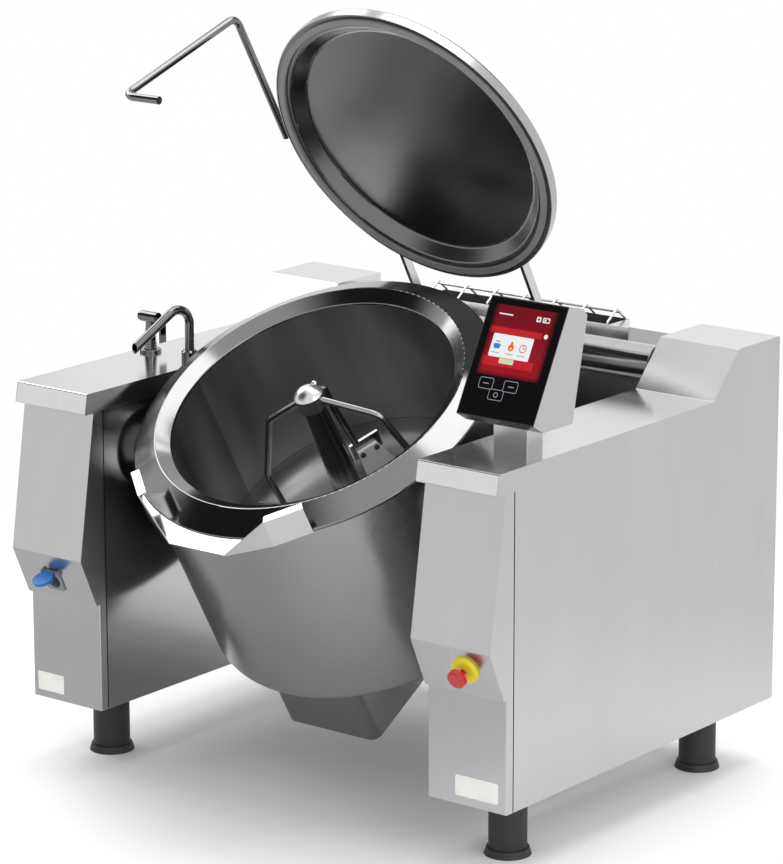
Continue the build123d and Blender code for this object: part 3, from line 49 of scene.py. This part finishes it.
# ---- Places read from the frame ----
kettle_tilt = radians(30.7)                    # how far the kettle tips forward at rest
rim_centre = Vector(joints["mixer_spin"]["pos_m"])
lid_hinge = Vector(joints["lid_swing"]["pos_m"])
lid_tilt = radians(61.13)                      # how far the lid stands open at rest
lid_closed = Vector((0, -0.5035, -0.0273))     # lid's middle from its hinge, when shut
lid_centre = lid_hinge + Matrix.Rotation(-lid_tilt, 3, "X") @ lid_closed
glass_low, glass_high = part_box("touch_glass")
pan_seam_h = -0.329                            # weld between pan wall and bottom, below the rim

# ---- Colours, as linear red, green and blue ----
WHITE = (1.0, 1.0, 1.0, 1.0)
BLACK = (0.0, 0.0, 0.0, 1.0)


def grey(level):
    return (level, level, level * 1.012, 1.0)


# ==== Shader arithmetic ====

COLOUR_A, COLOUR_B, COLOUR_OUT = 6, 7, 2       # sockets of a Mix node set to colour


class Value:
    """A number in a material: arithmetic on it adds Math nodes."""

    def __init__(self, finish, socket):
        self.finish = finish
        self.socket = socket

    def __add__(self, other):
        return self.finish.math("ADD", self, other)

    def __sub__(self, other):
        return self.finish.math("SUBTRACT", self, other)

    def __rsub__(self, other):
        return self.finish.math("SUBTRACT", other, self)

    def __mul__(self, other):
        return self.finish.math("MULTIPLY", self, other)

    def __pow__(self, other):
        return self.finish.math("POWER", self, other)

    def __abs__(self):
        return self.finish.math("ABSOLUTE", self)

    def most(self, other):
        return self.finish.math("MAXIMUM", self, other)

    __radd__ = __add__
    __rmul__ = __mul__


class Finish:
    """A node material; constants go on the shader's own sockets."""

    def __init__(self, name, constants):
        self.material = bpy.data.materials.new(name)
        self.material.use_nodes = True
        self.tree = self.material.node_tree
        self.shader = self.tree.nodes["Principled BSDF"]
        self.place = self.node("TexCoord").outputs["Object"]
        for socket, value in constants.items():
            self.shader.inputs[socket].default_value = value

    def node(self, kind, inputs=None, **settings):
        made = self.tree.nodes.new("ShaderNode" + kind)
        for name, value in settings.items():
            setattr(made, name, value)
        for name, value in (inputs or {}).items():
            self.feed(made.inputs[name], value)
        return made

    def feed(self, socket, value):
        if isinstance(value, Value):
            value = value.socket
        if isinstance(value, bpy.types.NodeSocket):
            self.tree.links.new(value, socket)
        else:
            socket.default_value = value

    def math(self, operation, *numbers):
        made = self.node("Math", dict(enumerate(numbers)), operation=operation)
        return Value(self, made.outputs[0])

    def ramp(self, value, start, end, low=0.0, high=1.0):
        """Smooth step from low to high as value goes from start to end."""
        made = self.node(
            "MapRange",
            {"Value": value, "From Min": start, "From Max": end, "To Min": low, "To Max": high},
            interpolation_type="SMOOTHSTEP",
        )
        return Value(self, made.outputs["Result"])

    def colour(self, amount, first, second):
        made = self.node("Mix", {0: amount, COLOUR_A: first, COLOUR_B: second}, data_type="RGBA")
        return made.outputs[COLOUR_OUT]

    def split(self, vector):
        made = self.node("SeparateXYZ", {0: vector})
        return [Value(self, made.outputs[axis]) for axis in range(3)]

    def join(self, x, y, z):
        return self.node("CombineXYZ", {0: x, 1: y, 2: z}).outputs[0]

    def mapped(self, vector, scale=(1, 1, 1), turn=(0, 0, 0)):
        made = self.node("Mapping", {"Vector": vector, "Scale": scale, "Rotation": turn})
        return made.outputs["Vector"]

    def noise(self, scale, detail=3.0, vector=None, stretch=(1, 1, 1)):
        made = self.node(
            "TexNoise",
            {
                "Vector": self.mapped(vector or self.place, stretch),
                "Scale": scale,
                "Detail": detail,
            },
        )
        return Value(self, made.outputs[0])

    def cells(self, scale):
        made = self.node("TexVoronoi", {"Vector": self.place, "Scale": scale}, feature="F1")
        return Value(self, made.outputs[0])

    def bump(self, height, depth, strength=1.0):
        made = self.node("Bump", {"Height": height, "Distance": depth, "Strength": strength})
        self.feed(self.shader.inputs["Normal"], made.outputs["Normal"])

    def set(self, socket, value):
        self.feed(self.shader.inputs[socket], value)


def about_axis(finish, centre, tilt):
    """Radius, height and turn of a point about an axis tipped forward through a centre."""
    apart = finish.node("VectorMath", {0: finish.place, 1: centre}, operation="SUBTRACT")
    x, y, z = finish.split(finish.mapped(apart.outputs[0], turn=(-tilt, 0, 0)))
    radius = (x * x + y * y) ** 0.5
    return radius, z, finish.math("ARCTAN2", y, x)


# ==== Finishes ====


def metal(name, level, roughness, grain, marks=1.0, polish=0.0):
    """Stainless steel: hairlines along one way, cloudy polish and faint wiping marks.

    grain gives the pattern's frequency along X, Y and Z, low along the hairlines; or it is
    (centre, tilt) for hairlines that run round an axis.
    """
    finish = Finish(name, {"Metallic": 1.0})
    if len(grain) == 2:
        radius, height, turn = about_axis(finish, *grain)
        lines_at = finish.join(radius * 1300.0, height * 1300.0, turn * 3.0)
        cloud_at = finish.join(radius * 9.0, height * 9.0, turn * 2.0)
    else:
        lines_at = finish.mapped(finish.place, grain)
        cloud_at = finish.mapped(finish.place, [2.0 + value * 0.006 for value in grain])
    lines = finish.noise(1.0, 2.0, lines_at)
    clouds = finish.noise(1.0, 3.0, cloud_at)
    wipes = finish.noise(7.0, 5.0)
    rough = roughness * (0.88 + lines * 0.12 + clouds * 0.12)
    rough = rough + finish.ramp(wipes, 0.45, 0.75) * 0.03 * marks
    finish.set("Roughness", rough)
    shade = finish.ramp(lines * 0.6 + clouds * 0.4, 0.25, 0.75)
    lightest = grey(min(level * 1.04, 0.95))
    finish.set("Base Color", finish.colour(shade, grey(level * 0.95), lightest))
    finish.bump(lines, 0.000005 * (1.0 - polish) + 0.000001, 0.5)
    return finish


def moulded(name, colour, roughness, texture=0.0001, metallic=0.0, coat=0.0):
    """Moulded plastic or rubber: a fine leathery grain, uneven sheen and patchy tone."""
    finish = Finish(name, {"Metallic": metallic, "Coat Weight": coat, "Coat Roughness": 0.1})
    pebble = finish.cells(900.0)
    cloud = finish.noise(22.0, 4.0)
    dark = tuple(channel * 0.95 for channel in colour[:3]) + (1.0,)
    light = tuple(min(channel * 1.04 + 0.003, 1.0) for channel in colour[:3]) + (1.0,)
    finish.set("Base Color", finish.colour(finish.ramp(cloud, 0.3, 0.7), dark, light))
    finish.set("Roughness", roughness + (cloud - 0.5) * 0.2)
    finish.bump(pebble, texture, 0.35)
    return finish


def pan_steel():
    """Pan interior: turned hairlines, soft streaks, the weld seam, and painted shade that darkens
    it low down, where it is also rougher.
    """
    finish = Finish("pan_steel", {"Metallic": 1.0})
    radius, height, turn = about_axis(finish, rim_centre, kettle_tilt)
    lines_at = finish.join(radius * 1100.0, height * 1100.0, turn * 4.0)
    lines = finish.noise(1.0, 2.0, lines_at)
    clouds = finish.noise(1.0, 4.0, finish.join(radius * 7.0, height * 7.0, turn * 2.0))
    seam = finish.ramp(abs(height - pan_seam_h), 0.0008, 0.0022, 1.0, 0.0)
    # Mask rising towards the bottom of the pan: it paints shade there and also roughens the steel.
    depth_shade = finish.ramp(height, -0.30, -0.40)
    finish.set("Roughness", 0.24 + lines * 0.07 + clouds * 0.10 + depth_shade * 0.06 + seam * 0.2)
    shade = finish.ramp(lines * 0.5 + clouds * 0.5, 0.25, 0.75)
    streaks = finish.noise(1.0, 2.0, finish.join(radius * 0.5, height * 1.1, turn * 1.9))
    clean = finish.colour(finish.ramp(streaks, 0.36, 0.66), grey(0.22), grey(0.52))
    clean = finish.colour(shade * 0.3, clean, grey(0.30))
    # The dark weld seam is the steel's own; the darkening low down is painted shade.
    seam_and_shade = finish.math("MAXIMUM", seam * 0.75, depth_shade * 0.25)
    finish.set("Base Color", finish.colour(seam_and_shade, clean, grey(0.20)))
    finish.bump(lines * 0.4 - seam * 2.0, 0.00003)
    return finish


# Colours on the lit screen.
DEEP_RED = (0.17, 0.003, 0.009, 1)
LOW_RED = (0.30, 0.006, 0.014, 1)
BAR_RED = (0.55, 0.014, 0.022, 1)
CARD_WHITE = (0.86, 0.87, 0.88, 1)
POT_BLUE = (0.03, 0.22, 0.62, 1)
FLAME_RED = (0.78, 0.10, 0.03, 1)
FLAME_HEART = (0.95, 0.55, 0.12, 1)
TIMER_RED = (0.70, 0.03, 0.03, 1)
CAPTION_GREY = (0.30, 0.31, 0.33, 1)
CHIP_GREEN = (0.62, 0.72, 0.40, 1)
MARK_WHITE = (0.85, 0.85, 0.86, 1)
KEY_GREY = (0.42, 0.43, 0.45, 1)

GLASS_LEAN = radians(61.9)      # lean of the glass from level
SOFT_EDGE = 0.35                # blur at the border of a drawn area, in mm


def screen_glass():
    """Black glass over a lit screen: a card with three icons, and outlined keys below.

    Everything is laid out in millimetres, across from the middle of the glass and up from its foot.
    """
    finish = Finish(
        "screen_glass",
        {"Base Color": (0.004, 0.004, 0.005, 1.0), "Coat Weight": 0.5, "Coat Roughness": 0.03},
    )
    middle = (glass_low.x + glass_high.x) / 2
    x, y, z = finish.split(finish.place)
    across = (x - middle) * 1000.0
    over_y, over_z = y - (glass_low.y - 0.001), z - glass_low.z
    up = (over_y * cos(GLASS_LEAN) + over_z * sin(GLASS_LEAN)) * 1000.0

    def area(left, right, low, high, corner=2.0):
        """1 inside a rounded rectangle, from the distance to its rounded edge."""
        past_x = (abs(across - (left + right) / 2) - ((right - left) / 2 - corner)).most(0.0)
        past_y = (abs(up - (low + high) / 2) - ((high - low) / 2 - corner)).most(0.0)
        past = (past_x * past_x + past_y * past_y) ** 0.5
        return finish.ramp(past - corner, -SOFT_EDGE, SOFT_EDGE, 1.0, 0.0)

    def disc(at_x, at_y, radius):
        """1 inside a circle."""
        off_x, off_y = across - at_x, up - at_y
        apart = (off_x * off_x + off_y * off_y) ** 0.5
        return finish.ramp(apart - radius, -SOFT_EDGE, SOFT_EDGE, 1.0, 0.0)

    def hoop(at_x, at_y, radius, hollow):
        return disc(at_x, at_y, radius) * (1.0 - disc(at_x, at_y, hollow))

    def outline(left, right, low, high, corner, width):
        inner = area(left + width, right - width, low + width, high - width, corner - width)
        return area(left, right, low, high, corner) * (1.0 - inner)

    screen = area(-72, 70, 82, 219, 1.5)
    fade = finish.ramp(up, 95.0, 215.0)
    picture = finish.colour(fade, LOW_RED, DEEP_RED)
    for bar in (area(-71, 48, 164, 176, 1.0), area(-71, 48, 101, 118, 1.0)):
        picture = finish.colour(bar, picture, BAR_RED)
    picture = finish.colour(area(-58, 34, 118, 163, 3.0), picture, CARD_WHITE)
    pot = area(-51, -37, 134, 144, 2.5)
    pot = pot.most(area(-49, -39, 147, 149, 1.0)).most(area(-54, -34, 140, 142, 1.0))
    picture = finish.colour(pot, picture, POT_BLUE)
    flame = disc(-12, 139, 6.5).most(area(-14.5, -9.5, 140, 151, 2.4))
    picture = finish.colour(flame, picture, FLAME_RED)
    picture = finish.colour(disc(-12, 137.5, 3.0), picture, FLAME_HEART)
    hands = (area(14.3, 15.7, 140, 146.5, 0.6), area(14.3, 19.5, 140.3, 141.7, 0.6))
    timer = hoop(15, 141, 8.0, 6.4).most(hands[0]).most(hands[1])
    picture = finish.colour(timer, picture, TIMER_RED)
    for left, right in ((-53, -35), (-21, -3), (6, 24)):
        picture = finish.colour(area(left, right, 125.5, 127, 0.6), picture, CAPTION_GREY)
    picture = finish.colour(area(-30, 3, 107, 117, 2.0), picture, CHIP_GREEN)
    marks = (
        area(26, 36, 196, 206, 1.5) * (1.0 - area(28.5, 33.5, 199, 203, 0.8)),
        area(40, 56, 196, 206, 1.5) * (1.0 - area(42, 54, 198, 204, 0.8)),
        area(43.5, 48, 199, 203, 0.4),
        area(-60, -28, 200, 202.5, 0.8),
        area(53, 62, 166, 175, 4.4),
    )
    for mark in marks:
        picture = finish.colour(mark, picture, MARK_WHITE)
    sides = finish.ramp(abs(across + 1.0), 58.0, 72.0, 1.0, 0.25)
    edge_glow = sides * finish.ramp(up, 82.0, 92.0, 0.35, 1.0)
    lit = finish.colour(screen * edge_glow, BLACK, picture)

    keys = outline(-59, -27, 55, 77, 4, 0.9).most(outline(-3, 29, 55, 77, 4, 0.9))
    keys = keys.most(outline(-31, 2, 36, 57, 4, 0.9))
    signs = area(-50, -37, 65, 66.4, 0.6).most(area(8, 21, 65, 66.4, 0.6))
    signs = signs.most(hoop(-14.5, 46.5, 5, 3.9))
    lit = finish.colour(keys.most(signs), lit, KEY_GREY)
    finish.set("Emission Color", lit)
    finish.shader.inputs["Emission Strength"].default_value = 1.0
    smears = finish.noise(18.0, 5.0, stretch=(1, 0.5, 0.5))
    finish.set("Roughness", finish.ramp(smears, 0.4, 0.75, 0.04, 0.16))
    return finish


def cast_steel(name, level, roughness):
    """Painted or cast housings inside the pillars: an orange-peel skin with oily patches."""
    finish = Finish(name, {"Metallic": 0.4})
    peel = finish.noise(420.0, 2.0)
    patches = finish.noise(9.0, 5.0)
    oil = finish.ramp(patches, 0.35, 0.7)
    finish.set("Base Color", finish.colour(oil, grey(level), grey(level * 0.55)))
    finish.set("Roughness", roughness - finish.ramp(patches, 0.5, 0.7) * 0.2)
    finish.bump(peel, 0.00015, 0.5)
    return finish


# Frequency of the hairlines along X, Y and Z, or the axis that they run round.
UP_GRAIN = (1100, 1100, 14)
DECK_GRAIN = (1100, 12, 12)
CROSS_GRAIN = (12, 1100, 1100)
KETTLE = (rim_centre, kettle_tilt)
LID = (lid_centre, -lid_tilt)

panel_steel = metal("panel_steel", 0.51, 0.24, UP_GRAIN)
deck_steel = metal("deck_steel", 0.68, 0.16, DECK_GRAIN)
cross_steel = metal("cross_steel", 0.66, 0.22, CROSS_GRAIN)
inner_steel = metal("inner_steel", 0.44, 0.14, UP_GRAIN, marks=0.5)
# Rear housing and gearmotor cover: steel painted dark as shade in the bay between the pillars.
bay_painted_shade_steel = metal("bay_painted_shade_steel", 0.22, 0.24, CROSS_GRAIN)
shell_steel = metal("shell_steel", 0.30, 0.25, KETTLE)
rim_steel = metal("rim_steel", 0.24, 0.13, KETTLE, marks=0.5, polish=0.7)
spout_steel = metal("spout_steel", 0.50, 0.12, CROSS_GRAIN, marks=0.5, polish=0.7)
handle_steel = metal("handle_steel", 0.19, 0.14, UP_GRAIN, marks=0.5, polish=1.0)
bar_steel = metal("bar_steel", 0.62, 0.16, UP_GRAIN, marks=0.6, polish=0.5)
lid_steel = metal("lid_steel", 0.44, 0.20, LID)
# Underside of the lid: the lid's own steel, painted darker as shade.
lid_under_painted_shade_steel = metal("lid_under_painted_shade_steel", 0.17, 0.22, LID)
tube_steel = metal("tube_steel", 0.52, 0.12, CROSS_GRAIN, marks=0.6, polish=0.5)
mixer_steel = metal("mixer_steel", 0.33, 0.14, KETTLE, marks=0.6, polish=0.6)
hub_steel = metal("hub_steel", 0.66, 0.26, KETTLE)
tap_chrome = metal("tap_chrome", 0.16, 0.08, UP_GRAIN, marks=0.5, polish=0.9)
foot_chrome = metal("foot_chrome", 0.62, 0.10, UP_GRAIN, marks=0.6, polish=0.7)
fastener_steel = metal("fastener_steel", 0.22, 0.30, UP_GRAIN)
foot_plastic = moulded("foot_plastic", (0.014, 0.014, 0.015), 0.55)
black_plastic = moulded("black_plastic", (0.02, 0.02, 0.022), 0.4)
red_plastic = moulded("red_plastic", (0.45, 0.005, 0.006), 0.3, 0.00003, coat=0.15)
yellow_plastic = moulded("yellow_plastic", (0.78, 0.62, 0.01), 0.36, 0.00003, coat=0.1)
blue_plastic = moulded("blue_plastic", (0.006, 0.14, 0.46), 0.38, 0.00004)
socket_plastic = moulded("socket_plastic", (0.20, 0.21, 0.23), 0.42)
seal_rubber = moulded("seal_rubber", (0.20, 0.205, 0.21), 0.6)
scraper_plastic = moulded("scraper_plastic", (0.86, 0.87, 0.88), 0.45, 0.00005)
plate_enamel = moulded("plate_enamel", (0.80, 0.79, 0.75), 0.35, 0.00002)
frame_steel = cast_steel("frame_steel", 0.10, 0.5)
motor_paint = cast_steel("motor_paint", 0.28, 0.45)
bush_bronze = moulded("bush_bronze", (0.60, 0.38, 0.16), 0.3, metallic=1.0)

finishes = {
    panel_steel: [side + name for side in ("left", "right") for name in (
        "_side_panel", "_front_fascia", "_kick_panel", "_rear_panel", "_base_plate",
    )] + ["control_housing", "housing_neck"],
    inner_steel: ["left_inner_panel", "right_inner_panel"],
    deck_steel: ["left_top_cover", "right_top_cover"],
    cross_steel: ["flue_tray", "trunnions"],
    bay_painted_shade_steel: ["rear_housing", "gearmotor_cover"],
    shell_steel: ["outer_shell", "steam_jacket"],
    pan_steel(): ["pan_wall", "pan_bottom"],
    rim_steel: ["rim_ring"],
    spout_steel: ["pour_spout"],
    handle_steel: ["lid_handle"],
    bar_steel: ["lid_arms", "flue_guard"],
    lid_steel: ["lid_shell"],
    lid_under_painted_shade_steel: ["lid_inner_panel"],
    tube_steel: ["hinge_tube"],
    mixer_steel: ["center_column", "mixer_arms", "mixer_shaft", "scraper_holders"],
    hub_steel: ["mixer_hub"],
    tap_chrome: ["tap_base", "tap_spout", "shower_base", "shower_gun", "shower_lever"],
    foot_chrome: ["foot_tubes"],
    fastener_steel: ["scraper_screws"],
    foot_plastic: ["foot_sleeves"],
    black_plastic: ["display_module"],
    screen_glass(): ["touch_glass"],
    red_plastic: ["estop_button"],
    yellow_plastic: ["estop_collar"],
    blue_plastic: ["socket_cover"],
    socket_plastic: ["socket_body"],
    seal_rubber: ["lid_gasket"],
    scraper_plastic: ["scraper_plates"],
    plate_enamel: ["blank_plates"],
    frame_steel: ["base_frame", "lid_spring_cartridges", "lid_bearings", "trunnion_bearings"],
    motor_paint: ["tilt_gearmotor", "mixer_gearmotor"],
    bush_bronze: ["column_bushes"],
}
for finish, names in finishes.items():
    for name in names:
        mesh = nodes[name].data
        mesh.materials.clear()
        mesh.materials.append(finish.material)
bare = sorted(set(nodes) - {name for names in finishes.values() for name in names})
if bare:
    raise ValueError(f"no finish for {bare}")

# ==== Small pieces that ride on the metalwork ====


def ring_surface(name, points, material, body):
    """Mesh of a grid of points whose rows are closed rings, riding on a body."""
    rows, columns = points.shape[:2]
    index = np.arange(rows * columns).reshape(rows, columns)
    beside = np.roll(index, -1, axis=1)
    quads = np.stack([index[:-1], beside[:-1], beside[1:], index[1:]], axis=-1).reshape(-1, 4)
    mesh = bpy.data.meshes.new(name)
    mesh.from_pydata(points.reshape(-1, 3), [], quads)
    shape = bmesh.new()
    shape.from_mesh(mesh)
    bmesh.ops.remove_doubles(shape, verts=shape.verts, dist=1e-6)
    bmesh.ops.recalc_face_normals(shape, faces=shape.faces)
    shape.to_mesh(mesh)
    shape.free()
    mesh.shade_smooth()
    mesh.materials.append(material)
    piece = bpy.data.objects.new(name, mesh)
    bpy.context.scene.collection.objects.link(piece)
    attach(piece, body)


def turned_points(profile, place, axis, steps):
    """Profile of (radius, height) pairs turned round an axis.

    The point at (pair, angle) is place + height * axis + radius * (cos(angle), sin(angle)).
    """
    axis = Vector(axis).normalized()
    side = axis.orthogonal().normalized()
    other = axis.cross(side)
    radius, height = np.array(profile, float).T
    angle = np.linspace(0, 2 * pi, steps, endpoint=False)
    ring = np.outer(np.cos(angle), side) + np.outer(np.sin(angle), other)
    rise = height[:, None, None] * np.array(axis)
    return np.array(place) + rise + radius[:, None, None] * ring[None]


kettle_axis = Vector((0, -sin(kettle_tilt), cos(kettle_tilt)))
kettle_back = Vector((0, cos(kettle_tilt), sin(kettle_tilt)))

# Locking nub behind the top of the mixer's dome: a short neck under a rounded end.
nub_radius, nub_neck, nub_steps = 0.0065, 0.004, 24
nub_place = rim_centre + kettle_back * 0.0235 + kettle_axis * 0.0035
nub_axis = (kettle_axis * 0.8 + kettle_back * 0.6).normalized()
nub_profile = [(nub_radius, -nub_neck), (nub_radius, nub_neck)] + [
    (nub_radius * cos(turn), nub_neck + nub_radius * sin(turn))
    for turn in np.linspace(0.2, pi / 2, 6)
]
nub_points = turned_points(nub_profile, nub_place, nub_axis, nub_steps)
ring_surface("hub_nub", nub_points, hub_steel.material, "mixer")

# ==== Studio ====


def stage_sheet(name, corners, material):
    """Flat sheet that belongs to the studio, not to the object."""
    mesh = bpy.data.meshes.new(name)
    mesh.from_pydata(corners, [], [tuple(range(len(corners)))])
    mesh.materials.append(material)
    sheet = bpy.data.objects.new(name, mesh)
    bpy.context.scene.collection.objects.link(sheet)
    return sheet


def seen_white(tree):
    """1 for rays that see the backdrop: from the camera, or through gloss or glass."""
    path = tree.nodes.new("ShaderNodeLightPath")
    total = path.outputs["Is Camera Ray"]
    for ray in ("Is Glossy Ray", "Is Transmission Ray"):
        add = tree.nodes.new("ShaderNodeMath")
        add.operation = "MAXIMUM"
        tree.links.new(total, add.inputs[0])
        tree.links.new(path.outputs[ray], add.inputs[1])
        total = add.outputs[0]
    return total


world = bpy.data.worlds.new("studio")
bpy.context.scene.world = world
world.use_nodes = True
ambient = world.node_tree.nodes["Background"]
ambient.inputs["Color"].default_value = WHITE
strength = world.node_tree.nodes.new("ShaderNodeMapRange")
strength.inputs["To Min"].default_value = 0.9      # light that falls on surfaces
strength.inputs["To Max"].default_value = 1.0      # white that is seen or mirrored
world.node_tree.links.new(seen_white(world.node_tree), strength.inputs["Value"])
world.node_tree.links.new(strength.outputs["Result"], ambient.inputs["Strength"])

# Pale floor that turns into plain white paper away from the object's shadow.
paper_from, paper_to, floor_reach = 0.5, 2.3, 14.0
floor_finish = Finish("floor_paint", {"Base Color": (0.92, 0.92, 0.925, 1), "Roughness": 0.7})
x, y, z = floor_finish.split(floor_finish.place)
away = (x * x + y * y) ** 0.5
paper = floor_finish.node("Emission", {"Color": WHITE, "Strength": 1.0})
blend = floor_finish.node("MixShader", {0: floor_finish.ramp(away, paper_from, paper_to)})
floor_links = floor_finish.tree.links
floor_links.new(floor_finish.shader.outputs[0], blend.inputs[1])
floor_links.new(paper.outputs[0], blend.inputs[2])
floor_links.new(blend.outputs[0], floor_finish.tree.nodes["Material Output"].inputs["Surface"])
floor_corners = [
    (a * floor_reach, b * floor_reach, 0) for a, b in ((-1, -1), (1, -1), (1, 1), (-1, 1))
]
stage_sheet("floor", floor_corners, floor_finish.material)


def softbox(name, place, aim, width, height, power):
    """Rectangular lamp at a place, turned to its aim; power in watts."""
    lamp = bpy.data.lights.new(name, "AREA")
    lamp.shape = "RECTANGLE"
    lamp.size, lamp.size_y, lamp.energy = width, height, power
    holder = bpy.data.objects.new(name, lamp)
    holder.location = place
    holder.rotation_euler = (Vector(aim) - Vector(place)).to_track_quat("-Z", "Y").to_euler()
    bpy.context.scene.collection.objects.link(holder)


softbox("key", (-3.4, 0.4, 3.4), (0, 0, 0.6), 2.6, 2.6, 75)
softbox("fill", (3.8, -1.2, 2.2), (0, 0, 0.6), 2.4, 3.2, 45)
softbox("top", (0.2, 0.8, 4.2), (0, 0, 0.5), 3.0, 3.0, 85)


# Dark flags that give polished steel and glass their black reflections.


def flag_cloth(name, density):
    """Black cloth that thins out to nothing towards its edges, for a soft border in reflections."""
    finish = Finish(name, {"Base Color": (0.012, 0.012, 0.012, 1), "Roughness": 1.0})
    u, v, _ = finish.split(finish.node("UVMap").outputs[0])
    middle, solid = 0.5, 0.2       # the cloth is solid this far from its middle
    cover_u = finish.ramp(abs(u - middle), solid, middle, 1.0, 0.0)
    cover_v = finish.ramp(abs(v - middle), solid, middle, 1.0, 0.0)
    finish.set("Alpha", cover_u * cover_v * density)
    return finish.material


def flag(name, bearing, height, reach, width, rise, lean=0.0, density=1.0):
    """Dark card facing the object, its middle at a bearing from the front, a height and a reach.

    lean tips its top towards the object, in degrees; at 90 it lies level.
    """
    turn = radians(bearing)
    outward = Vector((sin(turn), -cos(turn), 0))
    side = Vector((cos(turn), sin(turn), 0))
    middle = outward * reach + Vector((0, 0, height))
    upward = Vector((0, 0, cos(radians(lean))))
    tip = (upward - outward * sin(radians(lean))) * (rise / 2)
    signs = ((-1, -1), (1, -1), (1, 1), (-1, 1))
    corners = [tuple(middle + side * (a * width / 2) + tip * b) for a, b in signs]
    card = stage_sheet(name, corners, flag_cloth(name + "_cloth", density))
    layer = card.data.uv_layers.new(name="UVMap")
    layer.data.foreach_set("uv", [0.0, 0.0, 1.0, 0.0, 1.0, 1.0, 0.0, 1.0])
    card.visible_camera = False
    card.visible_shadow = False
    card.visible_diffuse = False


# name, bearing, height, reach, width, rise, lean, density
flag("front_flag", -38, 5.0, 6.0, 9.5, 8.6, 30)
flag("left_flag", -106, 1.9, 5.0, 5.0, 4.6, 0, 0.9)
flag("back_flag", 170, 5.4, 5.6, 7.0, 5.0, 40, 0.8)
flag("floor_flag", -34, 0.004, 1.25, 2.6, 1.9, 90, 0.42)

# ==== Camera ====

azimuth, elevation, roll = radians(38.197), radians(14.144), -0.0017927
target = Vector((-0.00113, 0.05558, 0.692))
distance, focal_length, sensor_width = 7.9322, 165.3, 36.0
back = Vector((sin(azimuth) * cos(elevation), -cos(azimuth) * cos(elevation), sin(elevation)))
right = Vector((cos(azimuth), sin(azimuth), 0))
up = back.cross(right)
turned_right = right * cos(roll) + up * sin(roll)
turned_up = up * cos(roll) - right * sin(roll)
lens = bpy.data.cameras.new("camera")
lens.lens, lens.sensor_width = focal_length, sensor_width
lens.clip_end = 60
camera = bpy.data.objects.new("camera", lens)
camera.matrix_world = Matrix((
    (turned_right.x, turned_up.x, back.x, 0), (turned_right.y, turned_up.y, back.y, 0),
    (turned_right.z, turned_up.z, back.z, 0), (0, 0, 0, 1),
))
camera.location = target + back * distance
bpy.context.scene.collection.objects.link(camera)
bpy.context.scene.camera = camera
bpy.context.scene.view_settings.view_transform = "Standard"
